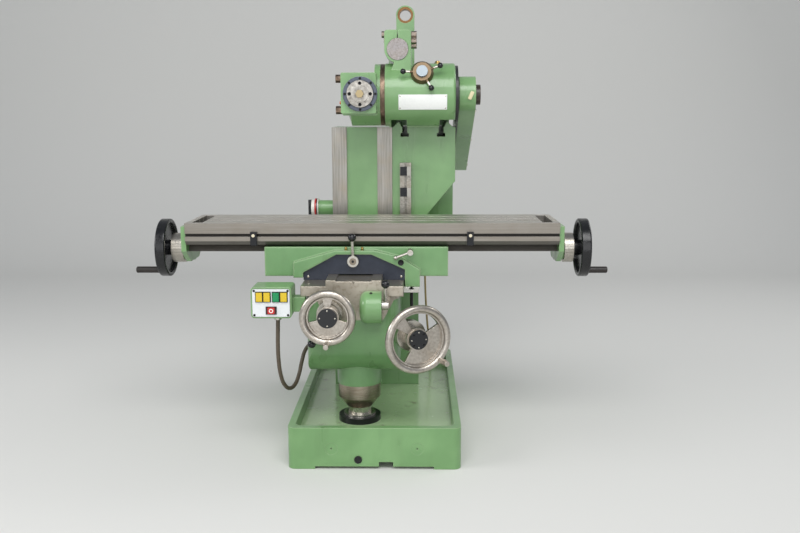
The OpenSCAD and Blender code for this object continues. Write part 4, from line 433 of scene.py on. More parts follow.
# Panel and plate: satin lacquer, close to white
dress(moulded("satin white lacquered plate", "#E3E6E7", "#D5D9DA", rough=0.36), "control_panel")
dress(moulded("blank white enamelled plate", "#F0F1EE", "#E6E8E4", rough=0.26), "nameplate")
yellow = moulded("yellow push button", "#DDBE2A", "#CDAE1E", rough=0.3)
dress(yellow, "button_left", "button_right", "button_jog")
dress(moulded("green push button", "#0D8F55", "#0B7F4A", rough=0.3), "button_start")
dress(moulded("black belt rubber", "#161616", "#202020", rough=0.7), "drive_belt")
conduit_sheath = moulded("brown-grey conduit sheath", "#5E5344", "#493F34", rough=0.5)
conduit_cord.data.materials.append(conduit_sheath)
cable_sheath = moulded("tan cable sheath", "#A58F62", "#8A744C", rough=0.5)
supply_cord.data.materials.append(cable_sheath)
print("moulded finishes done")

# %% [markdown]
# ## Two finishes on one solid
#
# Many of these solids carry two finishes: a steel lever with a black ball, a green ram with steel bolts,
# a silver wheel with a black cap. They could be cut into pieces, but a solid stays whole if its material
# tells the parts apart by place. A zone is a mask that is one inside a ball, a box or a round bar, and
# zero outside; overpaint lays a second finish on a material wherever the mask is one.

# %% Zones and overpaint
def ball_zone(material, centre_mm, radius_mm):
    tree = material.node_tree
    place = add_node(tree, COORDINATES).outputs["Object"]
    away = add_node(tree, VECTOR_MATH, {0: place, 1: Vector(centre_mm) / 1000},
                    operation="DISTANCE")
    return add_node(tree, MATH, {0: away.outputs["Value"], 1: radius_mm / 1000},
                    operation="LESS_THAN").outputs["Value"]


def bar_zone(material, axis, centre_mm, radius_mm):
    tree = material.node_tree
    place = add_node(tree, COORDINATES).outputs["Object"]
    keep = Vector([0 if letter == axis else 1 for letter in "XYZ"])
    flat = add_node(tree, VECTOR_MATH, {0: place, 1: keep}, operation="MULTIPLY")
    centre = Vector(centre_mm) * keep / 1000
    away = add_node(tree, VECTOR_MATH, {0: flat.outputs["Vector"], 1: centre},
                    operation="DISTANCE")
    return add_node(tree, MATH, {0: away.outputs["Value"], 1: radius_mm / 1000},
                    operation="LESS_THAN").outputs["Value"]


def box_zone(material, **spans_mm):
    tree = material.node_tree
    place = add_node(tree, COORDINATES).outputs["Object"]
    split = add_node(tree, "ShaderNodeSeparateXYZ", {"Vector": place})
    inside = None
    for letter, (low, high) in spans_mm.items():
        within = add_node(tree, MATH,
                          {0: split.outputs[letter.upper()], 1: (low + high) / 2000,
                           2: (high - low) / 2000},
                          operation="COMPARE").outputs["Value"]
        inside = within if inside is None else overlap(material, inside, within)
    return inside


def overlap(material, first, second):
    return add_node(material.node_tree, MATH, {0: first, 1: second},
                    operation="MULTIPLY").outputs["Value"]


def either(material, *masks):
    widest = masks[0]
    for mask in masks[1:]:
        widest = add_node(material.node_tree, MATH, {0: widest, 1: mask},
                          operation="MAXIMUM").outputs["Value"]
    return widest


def overpaint(material, mask, colour, rough, metallic=0.0):
    tree = material.node_tree
    shader = tree.nodes["Principled BSDF"]
    under = shader.inputs["Base Color"].links[0].from_socket
    tone = add_node(tree, MIX, {0: mask, 6: under, 7: linear(colour)}, data_type="RGBA")
    tree.links.new(tone.outputs[2], shader.inputs["Base Color"])
    for name, value in (("Metallic", metallic), ("Roughness", rough)):
        socket = shader.inputs[name]
        below = socket.links[0].from_socket if socket.is_linked else socket.default_value
        mixed = add_node(tree, MIX, {0: mask, 2: below, 3: value}, data_type="FLOAT")
        tree.links.new(mixed.outputs[0], socket)


print("zones and overpaint ready")

# %% [markdown]
# ## The knee
#
# The knee is bare machined iron on its flange and rail, where the saddle slides, and painted below. The
# change from metal to paint is a height on the casting, softened by noise because a brush drew it.

# %% Knee: iron above, enamel below
PAINT_LINE = 0.600

knee_coat = enamel("knee casting, enamel with a machined top", "#618A57", "#6D9562", "#526F47")
tree = knee_coat.node_tree
place = add_node(tree, COORDINATES).outputs["Object"]
axes = add_node(tree, "ShaderNodeSeparateXYZ", {"Vector": place})
# The bare patch hangs lower in the middle of the front, within 100 mm of the centre line
sideways = add_node(tree, MATH, {0: axes.outputs["X"], 1: -0.07}, operation="SUBTRACT")
spread = add_node(tree, MATH, {0: sideways.outputs["Value"]}, operation="ABSOLUTE")
sag = add_node(tree, MAP_RANGE,
               {"Value": spread.outputs["Value"], "From Min": 0.1, "From Max": 0.14, "To Min": 0.075,
                "To Max": 0.0})
height = add_node(tree, MATH, {0: axes.outputs["Z"], 1: sag.outputs["Result"]},
                  operation="ADD").outputs["Value"]
ragged = add_node(tree, NOISE, {"Vector": place, "Scale": 1 / 0.03, "Detail": 3.0})
line = add_node(tree, MATH, {0: ragged.outputs["Fac"], 1: 0.012, 2: height},
                operation="MULTIPLY_ADD")
bare = add_node(tree, MAP_RANGE,
                {"Value": line.outputs["Value"], "From Min": PAINT_LINE + 0.004,
                 "From Max": PAINT_LINE + 0.009})
overpaint(knee_coat, bare.outputs["Result"], "#B4AC9E", metallic=0.9, rough=0.4)
# Scraper marks on the bare iron are about 12 mm wide and browner where oil stands
marks = add_node(tree, NOISE, {"Vector": place, "Scale": 1 / 0.012, "Detail": 5.0})
mark_mask = add_node(tree, MAP_RANGE,
                     {"Value": marks.outputs["Fac"], "From Min": 0.48, "From Max": 0.7, "To Max": 0.5})
browned = add_node(tree, MATH, {0: mark_mask.outputs["Result"], 1: bare.outputs["Result"]},
                   operation="MULTIPLY")
overpaint(knee_coat, browned.outputs["Value"], "#857866", metallic=0.85, rough=0.46)
dress(knee_coat, "knee")
print("paint stops", PAINT_LINE, "m above the floor")

# %% [markdown]
# ## Levers with black balls
#
# Each lever is a steel rod with a black phenolic ball on its end. The star handle on the ram has three of
# them round a bronze cone with a grey cap, and its axis is tilted, so a matrix finds its balls.

# %% Ball levers
def ball_lever(name, node, centres_mm, ball_mm):
    material = bare_metal(name, rough=0.26)
    balls = [ball_zone(material, centre, ball_mm + 0.6) for centre in centres_mm]
    overpaint(material, either(material, *balls), "#121316", rough=0.18)
    dress(material, node)
    return material


feed_coat = ball_lever("table feed lever, steel and black ball", "table_feed_lever",
                       [(-85.5, -354.3, 815)], ball_mm=15)
FEED_HUB_MM = (-83.5, 0, 725)
feed_face = box_zone(feed_coat, y=(-360, -335), z=(700, 740))
hub_ring = overlap(feed_coat, feed_face, bar_zone(feed_coat, "Y", FEED_HUB_MM, radius_mm=13))
overpaint(feed_coat, hub_ring, "#8C8274", metallic=0.9, rough=0.4)
# The hub's centre is painted near black: painted shade standing in for a hole
hub_hole_shade = overlap(feed_coat, feed_face, bar_zone(feed_coat, "Y", FEED_HUB_MM, radius_mm=5))
overpaint(feed_coat, hub_hole_shade, "#1B1A19", metallic=0.2, rough=0.5)
ball_lever("cross feed lever, steel and black ball", "cross_feed_lever", [(41.8, -501, 668)],
           ball_mm=15)
ball_lever("lift feed lever, steel and black ball", "lift_feed_lever", [(-227.5, -470.3, 442)],
           ball_mm=15)

# The hub stands on the drum 37 degrees above its front, and leans 25 degrees down from there
STAR_RISE = 37
STAR_DROOP = 25
STAR_FOOT_MM = 137.5
STAR_ARM_MM = 74
STAR_ARM_ANGLES = (180, 18, -61)
star_rise = Matrix.Rotation(math.radians(90 - STAR_RISE), 4, "X")
star_droop = Matrix.Rotation(math.radians(STAR_DROOP), 4, "X")
star_foot = Matrix.Translation((173, 65, 1338)) @ star_rise
star_axis = star_foot @ Matrix.Translation((0, 0, STAR_FOOT_MM)) @ star_droop
star_balls = []
for angle in STAR_ARM_ANGLES:
    turn_to = math.radians(angle)
    arm_end = Vector((STAR_ARM_MM * math.cos(turn_to), STAR_ARM_MM * math.sin(turn_to), 20))
    star_balls.append(star_axis @ arm_end)
star_coat = ball_lever("star handle, turned cone with black balls", "star_handle", star_balls, ball_mm=11)
star_hub = ball_zone(star_coat, star_axis @ Vector((0, 0, 10)), radius_mm=48)
overpaint(star_coat, star_hub, "#74634E", metallic=0.9, rough=0.42)
star_cap = ball_zone(star_coat, star_axis @ Vector((0, 0, 31)), radius_mm=25)
overpaint(star_coat, star_cap, "#8B949A", metallic=0.7, rough=0.4)
print("star handle has", len(star_balls), "balls")

# %% [markdown]
# ## The table, the base and the saddle
#
# The table's top is left bright, as its steel reflects the room, and its front is overpainted by three
# quarters with a darker grey, painted shade, so the planing strokes still show through. The base's pan
# floor is painted paler, a painted pool of light, and ringed with dry spots. The saddle's apron has a
# raised, rounded moulding, with painted highlights along its edges.

# %% Table front, pan floor and apron
# The front face is painted darker: painted shade on a face that reflects less light than the top
front_face_shade = box_zone(table_iron, y=(-320, -306.2))
overpaint(table_iron, overlap(table_iron, front_face_shade, 0.75), "#746D63", metallic=0.9, rough=0.42)
# The underside behind the front edge is painted dark: painted shade under the table
under_edge_shade = box_zone(table_iron, y=(-306.2, -200), z=(740, 796))
overpaint(table_iron, overlap(table_iron, under_edge_shade, 0.8), "#3E3A35", metallic=0.7, rough=0.5)
# The dog groove and the T-slot walls are painted dark: painted shade in the recesses
dog_groove_shade = box_zone(table_iron, y=(-306.8, -290), z=(811.6, 823.4))
slot_wall_shade = box_zone(table_iron, x=(-700, 670), y=(-300, -14), z=(800, 861))
overpaint(table_iron, dog_groove_shade, "#2A2723", metallic=0.5, rough=0.45)
overpaint(table_iron, overlap(table_iron, slot_wall_shade, 0.65), "#2A2723", metallic=0.5, rough=0.45)

base_coat = enamel("base casting, enamel with a painted-light pan")
# The pan floor is painted paler: a painted pool of light
pan = box_zone(base_coat, x=(-290, 290), y=(-530, 530), z=(102, 107))
overpaint(base_coat, overlap(base_coat, pan, 0.7), "#B2CC9E", rough=0.22)
# Dry spots of rusty coolant are about 40 mm across
pan_place = add_node(base_coat.node_tree, COORDINATES).outputs["Object"]
spots = add_node(base_coat.node_tree, NOISE,
                 {"Vector": pan_place, "Scale": 1 / 0.04, "Detail": 5.0})
spot_mask = add_node(base_coat.node_tree, MAP_RANGE,
                     {"Value": spots.outputs["Fac"], "From Min": 0.62, "From Max": 0.7, "To Max": 0.55})
pan_spots = overlap(base_coat, pan, spot_mask.outputs["Result"])
overpaint(base_coat, pan_spots, "#5E5136", rough=0.4)
dress(base_coat, "base")

# Pale edge colour and a wide bevel: painted highlights on the apron's rounded mouldings
saddle_coat = enamel("saddle casting, enamel with rounded mouldings", "#6A9460", "#749D69", "#59784C",
                     "#B4CBA1", edge_mm=9)
dress(saddle_coat, "saddle")
print("table, base and saddle dressed")

# %% [markdown]
# ## The ram, the head and the drive
#
# The ram is green, with painted shade in the gap against the belt guard, black over the ram's recessed
# end and the guard's back plate, and plain steel clamp bolts on the overarm clamp. The head wears a
# blue-black bearing cap round a bright spindle nose with a brass draw nut, and its swivel ring has gone
# brown with age.

# %% Ram, head, spindle and drive shaft
ram_coat = enamel("ram casting, enamel with painted shade at the guard")
# Black across the ram's recessed end and the guard's back plate: painted shade in the gap between drum and
# guard
neck = box_zone(ram_coat, x=(305.4, 315.7))
guard_plate_shade = box_zone(ram_coat, x=(316.3, 330))
overpaint(ram_coat, either(ram_coat, neck, guard_plate_shade), "#131416", rough=0.5)
right_bolts = box_zone(ram_coat, x=(130.3, 160), z=(1520, 1600))
left_bolts = box_zone(ram_coat, x=(0, 24.7), z=(1520, 1600))
overpaint(ram_coat, either(ram_coat, right_bolts, left_bolts), "#8A7D72", metallic=0.9, rough=0.35)
dress(ram_coat, "ram")

# The spindle's axis, across and up
SPINDLE_MM = (-64.0, 1338.0)
head_coat = enamel("head casting, enamel with a blued bearing cap")
cap_front = box_zone(head_coat, y=(-160, -125.2))
overpaint(head_coat, cap_front, "#4B525F", metallic=0.6, rough=0.34)
dress(head_coat, "head")

# Ring and bolts: blackened once, browned by handling since
ring_steel = bare_metal("browned swivel ring steel", "#8A7767", "#54463B", "#3A2F28",
                        streak_mm=(6, 20, 20), rough=0.36, stain_share=0.6)
dress(ring_steel, "swivel_ring")

spindle_coat = bare_metal("ground spindle nose with a brass nut", "#BDB9B1", "#7E7A74", "#5F574C",
                          streak_mm=(14, 14, 14), rough=0.32, stain_share=0.35)
nut = box_zone(spindle_coat, y=(-180, -160.3))
overpaint(spindle_coat, nut, "#A0906F", metallic=1.0, rough=0.3)
# The four holes in the nose are painted black: painted shade inside them
BOLT_CIRCLE_R = 40
drilling_shade = []
for step in range(4):
    angle = math.radians(90 * step)
    centre = (SPINDLE_MM[0] + BOLT_CIRCLE_R * math.cos(angle), 0,
              SPINDLE_MM[1] + BOLT_CIRCLE_R * math.sin(angle))
    drilling_shade.append(bar_zone(spindle_coat, "Y", centre, radius_mm=6.6))
overpaint(spindle_coat, either(spindle_coat, *drilling_shade), "#1B1B1D", metallic=0.2, rough=0.5)
dress(spindle_coat, "spindle")

shaft_coat = bare_metal("drive shaft with a brown-black end disc")
overpaint(shaft_coat, box_zone(shaft_coat, x=(387.2, 420)), "#33261F", rough=0.32)
dress(shaft_coat, "drive_shaft")

bar_coat = bare_metal("overarm bar, ground with a turned end", "#9A9594", "#7D7876",
                      streak_mm=(6, 90, 6), rough=0.34)
dress(bar_coat, "overarm_bar")

motor_coat = enamel("motor housing, enamel with a dark fan cowl")
overpaint(motor_coat, box_zone(motor_coat, x=(110, 150)), "#2C302E", rough=0.4)
dress(motor_coat, "motor")
print("ram, head, spindle, shaft, bar and motor dressed")

# %% [markdown]
# ## Elevating post and handwheels
#
# The post that lifts the knee stands in a black flange, and its nut has browned. The two silver handwheels
# carry black caps on their hubs.

# %% Post, nut and silver wheels
post_coat = bare_metal("elevating post, steel in a black flange", rough=0.26, stain_share=0.3)
post = bar_zone(post_coat, "Z", (-66.5, -300, 0), radius_mm=60.5)
flange = add_node(post_coat.node_tree, MATH, {0: 1.0, 1: post},
                  operation="SUBTRACT").outputs["Value"]
overpaint(post_coat, flange, "#1A1A1D", metallic=0.2, rough=0.3)
dress(post_coat, "lift_screw")
nut_coat = bare_metal("browned elevating nut", "#B5AA9A", "#8B7F70", "#6F5F4C", streak_mm=(40, 40, 4),
                      rough=0.3, stain_share=0.45)
dress(nut_coat, "lift_nut")

CROSS_CAP_MM = Vector((-160.5, -567, 558))
LIFT_OUT = Vector((0.390731, -0.920505, 0))
LIFT_CAP_MM = Vector((157.5, -529, 474)) + 8 * LIFT_OUT
for name, node, centre in (("cross wheel, aluminium with a black cap", "cross_wheel", CROSS_CAP_MM),
                           ("lift wheel, aluminium with a black cap", "lift_wheel", LIFT_CAP_MM)):
    wheel_coat = bare_metal(name, **WHEEL_FINISH)
    overpaint(wheel_coat, ball_zone(wheel_coat, centre, radius_mm=36), "#191A1D", rough=0.34)
    dress(wheel_coat, node)
print("wheel caps at", [round(v, 1) for v in CROSS_CAP_MM], "and", [round(v, 1) for v in LIFT_CAP_MM])

# %% [markdown]
# ## Dogs, stop rail, buttons and main switch
#
# The table's stop dogs are black with a pale screw head, the trip dogs are half black and half bare, the
# stop rail is a bright block on a black rod, and the main switch on the column's left is a stack of rings.

# %% Small two-finish solids
BLACK_STEEL = ("#1B1C1F", "#2A2B2E")

dog_coat = moulded("blackened stop dog with a pale screw", *BLACK_STEEL, rough=0.4, metallic=0.5)
overpaint(dog_coat, box_zone(dog_coat, y=(-330, -321.6)), "#DCD2B8", metallic=0.3, rough=0.35)
dress(dog_coat, "table_dog_left", "table_dog_right")

trip_coat = moulded("trip dog, blackened with a bare side", *BLACK_STEEL, rough=0.4, metallic=0.5)
overpaint(trip_coat, box_zone(trip_coat, x=(112, 140)), "#A19E97", metallic=0.9, rough=0.36)
dress(trip_coat, "trip_dog_upper", "trip_dog_lower")

stop_coat = bare_metal("bright stop block on a black rod", "#E2E1DC", "#CFCDC6", streak_mm=(8, 60, 8),
                       rough=0.34, stain_share=0.12)
overpaint(stop_coat, box_zone(stop_coat, z=(500, 606)), "#1B1B1D", metallic=0.3, rough=0.35)
dress(stop_coat, "stop_rail")

stop_button = moulded("red push button with a white ring", "#C9302A", "#B82720", rough=0.3)
STOP_MM = (-364.1, 0, 575)
left_side = box_zone(stop_button, x=(STOP_MM[0] - 30, STOP_MM[0] - 12))
right_side = box_zone(stop_button, x=(STOP_MM[0] + 12, STOP_MM[0] + 30))
overpaint(stop_button, either(stop_button, left_side, right_side), "#4A1614", rough=0.4)
overpaint(stop_button, bar_zone(stop_button, "Y", STOP_MM, radius_mm=7.6), "#ECEBE6", rough=0.32)
overpaint(stop_button, bar_zone(stop_button, "Y", STOP_MM, radius_mm=4.4), "#C4281F", rough=0.3)
dress(stop_button, "button_stop")

switch_coat = enamel("main switch, green boss with ringed end")
overpaint(switch_coat, box_zone(switch_coat, x=(-274.5, -269.7)), "#DAD9D2", rough=0.4)
overpaint(switch_coat, box_zone(switch_coat, x=(-279, -274.5)), "#17181A", rough=0.4)
overpaint(switch_coat, box_zone(switch_coat, x=(-290, -279)), "#B5261F", rough=0.3)
dress(switch_coat, "isolator_body")
knob_coat = moulded("black switch knob with a white collar", "#141517", "#202225", rough=0.26, edge_mm=2.0)
overpaint(knob_coat, box_zone(knob_coat, x=(-300.4, -276)), "#E2E0D8", rough=0.35)
dress(knob_coat, "isolator_knob")
print("dogs, stop rail, stop button and switch dressed")

# %% [markdown]
# ## Graduated dials
#
# Behind each handwheel sits a turned dial with fine engraved lines. The lines follow the angle round the
# screw: arctangent gives the angle, a fraction repeats it, and a comparison keeps a thin part of each step
# dark. Real dials have a line every few millimetres of rim; every second one is drawn, so that they show.

# %% Dial lines
def dial_finish(name, axis, centre_mm, rim_mm, lines, main=STEEL, dark=STEEL_SHADE):
    material = bare_metal(name, main, dark, stain_share=0.3)
    tree = material.node_tree
    place = add_node(tree, COORDINATES).outputs["Object"]
    centred = add_node(tree, VECTOR_MATH, {0: place, 1: Vector(centre_mm) / 1000},
                       operation="SUBTRACT")
    split = add_node(tree, "ShaderNodeSeparateXYZ", {"Vector": centred.outputs["Vector"]})
    across = [letter for letter in "XYZ" if letter != axis]
    angle = add_node(tree, MATH, {0: split.outputs[across[1]], 1: split.outputs[across[0]]},
                     operation="ARCTAN2")
    steps = add_node(tree, MATH, {0: angle.outputs["Value"], 1: lines / (2 * math.pi)},
                     operation="MULTIPLY")
    part = add_node(tree, MATH, {0: steps.outputs["Value"]}, operation="FRACT")
    thin = add_node(tree, MATH, {0: part.outputs["Value"], 1: 0.2}, operation="LESS_THAN")
    core = bar_zone(material, axis, centre_mm, rim_mm - 0.6)
    on_rim = add_node(tree, MATH, {0: thin.outputs["Value"], 1: core}, operation="SUBTRACT",
                      use_clamp=True)
    overpaint(material, on_rim.outputs["Value"], "#34302A", metallic=0.5, rough=0.4)
    return material


table_dials = dial_finish("table dials, engraved steel", "X", (0, -157, 750), rim_mm=57, lines=60,
                          main="#D0CBC1", dark="#A8A299")
dress(table_dials, "table_screw")
cross_dial = dial_finish("cross dial, engraved steel", "Y", (-160.5, 0, 558), rim_mm=46, lines=50)
dress(cross_dial, "cross_screw")
print("dials engraved")

# %% [markdown]
# ## Small turned and hexagonal pieces
#
# Screws, plugs, studs and caps are nearly all turned on a lathe. The matching tool in bmesh is spin: half
# a profile, drawn as (radius, height) in millimetres, is swept once round its axis. A matrix then stands
# the piece on its surface, with its own Z along the screw. Cover plates start as a cube, whose corners and
# front edges are bevelled.

# %% Helpers for small pieces
def stand_on(place_mm, direction):
    upright = Vector(direction).to_track_quat("Z", "Y").to_matrix().to_4x4()
    return Matrix.Translation(Vector(place_mm) / 1000) @ upright


def turned_shape(profile_mm, matrix, steps=28):
    shape = bmesh.new()
    points = [shape.verts.new((radius / 1000, 0, height / 1000)) for radius, height in profile_mm]
    line = [shape.edges.new(pair) for pair in zip(points, points[1:])]
    bmesh.ops.spin(shape, geom=points + line, cent=(0, 0, 0), axis=(0, 0, 1), angle=2 * math.pi,
                   steps=steps, use_merge=True)
    bmesh.ops.remove_doubles(shape, verts=shape.verts, dist=1e-6)
    bmesh.ops.recalc_face_normals(shape, faces=shape.faces)
    bmesh.ops.transform(shape, matrix=matrix, verts=shape.verts)
    return shape


def hex_shape(across_mm, height_mm, matrix):
    shape = bmesh.new()
    radius = across_mm / math.sqrt(3) / 1000
    bmesh.ops.create_cone(shape, cap_ends=True, segments=6, radius1=radius, radius2=radius,
                          depth=height_mm / 1000)
    bmesh.ops.translate(shape, verts=shape.verts, vec=(0, 0, height_mm / 2000))
    top = [edge for edge in shape.edges if min(v.co.z for v in edge.verts) > height_mm / 1000 - 1e-6]
    bmesh.ops.bevel(shape, geom=top, offset=across_mm / 9000, segments=2, profile=0.5, affect="EDGES",
                    material=-1)
    bmesh.ops.transform(shape, matrix=matrix, verts=shape.verts)
    return shape


def plate_shape(width_mm, height_mm, thick_mm, corner_mm, matrix):
    shape = bmesh.new()
    bmesh.ops.create_cube(shape, size=0.001)
    bmesh.ops.scale(shape, verts=shape.verts, vec=(width_mm, height_mm, thick_mm))
    bmesh.ops.translate(shape, verts=shape.verts, vec=(0, 0, thick_mm / 2000))
    upright = [edge for edge in shape.edges
               if abs(edge.verts[0].co.z - edge.verts[1].co.z) > thick_mm / 2000]
    bmesh.ops.bevel(shape, geom=upright, offset=corner_mm / 1000, segments=6, profile=0.5, affect="EDGES",
                    material=-1)
    front = [edge for edge in shape.edges if min(v.co.z for v in edge.verts) > thick_mm / 1000 - 1e-6]
    bmesh.ops.bevel(shape, geom=front, offset=thick_mm / 3000, segments=2, profile=0.5, affect="EDGES",
                    material=-1)
    bmesh.ops.transform(shape, matrix=matrix, verts=shape.verts)
    return shape


def keep_piece(name, shape, material, body):
    mesh = bpy.data.meshes.new(name)
    shape.to_mesh(mesh)
    shape.free()
    for polygon in mesh.polygons:
        polygon.use_smooth = True
    mesh.set_sharp_from_angle(angle=math.radians(35))
    mesh.materials.append(material)
    piece = bpy.data.objects.new(name, mesh)
    bpy.context.scene.collection.objects.link(piece)
    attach(piece, body)
    return piece


def join_shapes(shapes):
    whole = bmesh.new()
    for shape in shapes:
        part = bpy.data.meshes.new("part")
        shape.to_mesh(part)
        shape.free()
        whole.from_mesh(part)
        bpy.data.meshes.remove(part)
    return whole


def socket_screw(place_mm, direction, radius_mm, height_mm):
    profile = [(0, height_mm * 0.35), (radius_mm * 0.5, height_mm * 0.35), (radius_mm * 0.55, height_mm),
               (radius_mm * 0.9, height_mm), (radius_mm, height_mm * 0.85), (radius_mm, 0), (0, 0)]
    return turned_shape(profile, stand_on(place_mm, direction), 20)


def dome_screw(place_mm, direction, radius_mm, height_mm):
    profile = [(0, height_mm), (radius_mm * 0.6, height_mm * 0.92), (radius_mm * 0.92, height_mm * 0.55),
               (radius_mm, 0), (0, 0)]
    return turned_shape(profile, stand_on(place_mm, direction), 18)


dark_screw = moulded("oil-black socket screw", "#1B1C1E", "#2B2B2C", rough=0.38, metallic=0.7)
brass = bare_metal("turned brass", "#CDAE72", "#A98A52", "#7A5E34", streak_mm=(2, 2, 2), rough=0.25,
                   stain_share=0.3)
orange_plastic = moulded("orange filler plug", "#D05A2C", "#B84B22", rough=0.35)
cream_paint = moulded("cream painted latch", "#E2D8B2", "#D2C69C", rough=0.4)
bright_steel = bare_metal("bright steel screw", "#DAD6CC", "#B7B2A7", streak_mm=(2, 2, 2), rough=0.22,
                          stain_share=0.2)
print("screw finishes ready")

# %% [markdown]
# ## On the head
#
# A ring of small socket screws holds the bearing cap round the spindle nose, and an orange filler plug
# stands beside the lower clamping bolt.

# %% Bearing cap screws and filler plug
CAP_FACE_Y = -140.0
CAP_SCREW_R = 58.5

cap_screws = []
for step in range(8):
    angle = math.radians(45 * step)
    place = (SPINDLE_MM[0] + CAP_SCREW_R * math.cos(angle), CAP_FACE_Y,
             SPINDLE_MM[1] + CAP_SCREW_R * math.sin(angle))
    cap_screws.append(socket_screw(place, (0, -1, 0), radius_mm=5, height_mm=2.4))
keep_piece("bearing_cap_screws", join_shapes(cap_screws), dark_screw, "head")
plug_profile = [(0, 11), (4, 11), (6.5, 9), (7, 6), (7, 3), (9, 2.4), (9, 0), (0, 0)]
plug_stand = stand_on((-139, -46, 1306), (-1, 0, 0))
keep_piece("head_filler_plug", turned_shape(plug_profile, plug_stand), orange_plastic, "head")
print("head has", len(cap_screws), "cap screws")

# %% [markdown]
# ## On the ram
#
# Tiny screws hold the blank nameplate round the drum, a brass cap closes the oil filler on top, and the
# belt guard has a cream latch on its nose and bolts on its flank.

# %% Nameplate screws, filler cap, guard latch and bolts
DRUM_Y = 65.0
DRUM_Z = 1338.0
PLATE_R = 126.0

plate_screws = []
for x in (87, 265):
    for z in (1285, 1331):
        out = Vector((0, -math.sqrt(PLATE_R ** 2 - (z - DRUM_Z) ** 2), z - DRUM_Z)).normalized()
        place = (x, DRUM_Y + out.y * PLATE_R, DRUM_Z + out.z * PLATE_R)
        plate_screws.append(dome_screw(place, out, radius_mm=3, height_mm=1.4))
keep_piece("nameplate_screws", join_shapes(plate_screws), bright_steel, "ram")
cap_profile = [(0, 10), (5, 10), (9, 8.5), (10, 6), (10, 3), (14, 2.5), (14, -1), (0, -1)]
cap_stand = stand_on((236, DRUM_Y, DRUM_Z + 124), (0, 0, 1))
keep_piece("ram_filler_cap", turned_shape(cap_profile, cap_stand), brass, "ram")
lean = Matrix.Rotation(math.radians(-24), 4, "Z")
latch_stand = stand_on((367, -7.2, 1334), (0, -1, 0)) @ lean
latch = plate_shape(width_mm=15, height_mm=34, thick_mm=5, corner_mm=4, matrix=latch_stand)
keep_piece("guard_latch", latch, cream_paint, "ram")
# The guard's flank runs from the ram's axis down to the motor's
MOTOR_Y = 680
MOTOR_Z = 1070
flank = Vector((0, MOTOR_Y - DRUM_Y, MOTOR_Z - DRUM_Z)).normalized()
guard_bolts = []
for along in (20, 330, 640):
    place = Vector((387, DRUM_Y, DRUM_Z)) + flank * along + Vector((0, flank.z, -flank.y)) * 60
    guard_bolts.append(hex_shape(across_mm=9, height_mm=5, matrix=stand_on(place, (1, 0, 0))))
keep_piece("guard_bolts", join_shapes(guard_bolts), bright_steel, "ram")
print("nameplate has", len(plate_screws), "screws, the guard", len(guard_bolts), "bolts")

# %% [markdown]
# ## On the saddle, knee and column
#
# Two short studs stop the table feed lever, black plugs close the oil holes, small screws hold the wiper
# plate, the trip rail and the black wheel caps, and sheet covers close the column's back and side.

# %% Studs, oil plugs and screws
stud_profile = [(0, 19), (3.5, 19), (5, 17.5), (5, 8), (7.5, 7.5), (7.5, 0), (0, 0)]
studs = []
for x in (-111, -50):
    studs.append(turned_shape(stud_profile, stand_on((x, -319, 757), (0, -0.35, 0.94)), steps=20))
keep_piece("feed_lever_studs", join_shapes(studs), brass, "saddle")
oil_profile = [(0, 1.2), (7, 1.2), (9.5, 2.4), (11, 1.6), (11, 0), (0, 0)]
oil_stand = stand_on((93.5, -332, 718), (0, -1, 0))
keep_piece("apron_oil_plug", turned_shape(oil_profile, oil_stand), dark_screw, "saddle")
small_oil = [(0, 0.8), (3.4, 0.8), (4.6, 1.6), (5.5, 1), (5.5, -1), (0, -1)]
drum_out = Vector((0, -21, 55)).normalized()
drum_place = Vector((-10.5, -465, 577)) + drum_out * 59
drum_plug = turned_shape(small_oil, stand_on(drum_place, drum_out), steps=18)
keep_piece("drum_oil_plug", drum_plug, dark_screw, "knee")
rail_screws = []
for z in (712, 785):
    rail_screws.append(socket_screw((93, 121, z), (0, -1, 0), radius_mm=5, height_mm=3))
keep_piece("trip_rail_screws", join_shapes(rail_screws), dark_screw, "frame")
wiper_screws = []
for x in (-254, 95):
    wiper_screws.append(dome_screw((x, -319, 664), (0, -1, 0), radius_mm=4.6, height_mm=2.4))
keep_piece("wiper_screws", join_shapes(wiper_screws), bright_steel, "saddle")
print("saddle has", len(studs), "studs and the rail", len(rail_screws), "screws")

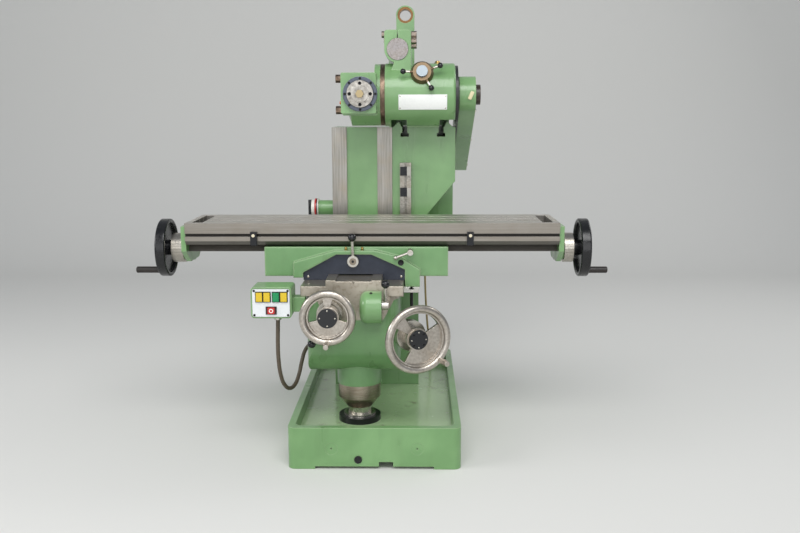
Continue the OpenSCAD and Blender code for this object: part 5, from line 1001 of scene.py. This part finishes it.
# %% Screws in the black wheel caps
CAP_RING_R = 27.3
CROSS_OUT = Vector((0, -1, 0))
CROSS_SIDE = Vector((1, 0, 0))
LIFT_SIDE = Vector((-LIFT_OUT.y, LIFT_OUT.x, 0))
CAP_RINGS = (("cross_cap_screws", "cross_wheel", CROSS_CAP_MM, CROSS_OUT, CROSS_SIDE),
             ("lift_cap_screws", "lift_wheel", LIFT_CAP_MM, LIFT_OUT, LIFT_SIDE))
for name, body, centre, out, side in CAP_RINGS:
    cap_ring = []
    for step in range(4):
        angle = math.radians(90 * step)
        place = centre + CAP_RING_R * (math.cos(angle) * side + math.sin(angle) * Vector((0, 0, 1)))
        cap_ring.append(dome_screw(place, out, radius_mm=3, height_mm=1.2))
    keep_piece(name, join_shapes(cap_ring), bright_steel, body)
    print(name, "made of", len(cap_ring), "screws")

# %% Panel screws
PANEL_X = -364.5
PANEL_FACE_Y = -512.0
PANEL_Z = 602
SCREW_REACH_X = 60
SCREW_REACH_Z = 44

panel_screws = []
for x in (PANEL_X - SCREW_REACH_X, PANEL_X + SCREW_REACH_X):
    for z in (PANEL_Z - SCREW_REACH_Z, PANEL_Z + SCREW_REACH_Z):
        panel_screws.append(socket_screw((x, PANEL_FACE_Y, z), (0, -1, 0), radius_mm=4.2, height_mm=1.8))
keep_piece("panel_screws", join_shapes(panel_screws), dark_screw, "knee")
print("panel has", len(panel_screws), "screws")

# %% [markdown]
# ## Covers on the column
#
# A hollow column has openings for its wiring and pump, each closed by a sheet cover with a ring of screws.
# The covers are thin plates with rounded corners, painted with the casting.

# %% Rear and side covers
COVERS = (("column_rear_cover", (-20, 500, 520), (0, 1, 0), 240, 420),
          ("column_side_cover", (-201, 330, 470), (-1, 0, 0), 190, 330))
COVER_THICK = 3
COVER_CORNER = 14
SCREW_INSET = 14
for name, centre, out, width, height in COVERS:
    across = Vector((0, 0, 1)).cross(Vector(out))
    upright = Matrix((across, (0, 0, 1), out)).transposed().to_4x4()
    cover_stand = Matrix.Translation(Vector(centre) / 1000) @ upright
    cover = plate_shape(width, height, COVER_THICK, COVER_CORNER, cover_stand)
    keep_piece(name, cover, green, "frame")
    screws = []
    for side in (-1, 1):
        for level in (-1, 0, 1):
            place = Vector(centre) + across * side * (width / 2 - SCREW_INSET)
            place += Vector((0, 0, level * (height / 2 - SCREW_INSET))) + Vector(out) * COVER_THICK
            screws.append(dome_screw(place, out, radius_mm=6, height_mm=3.2))
    keep_piece(name + "_screws", join_shapes(screws), bright_steel, "frame")
    print(name, "is", width, "by", height, "mm, held by", len(screws), "screws")
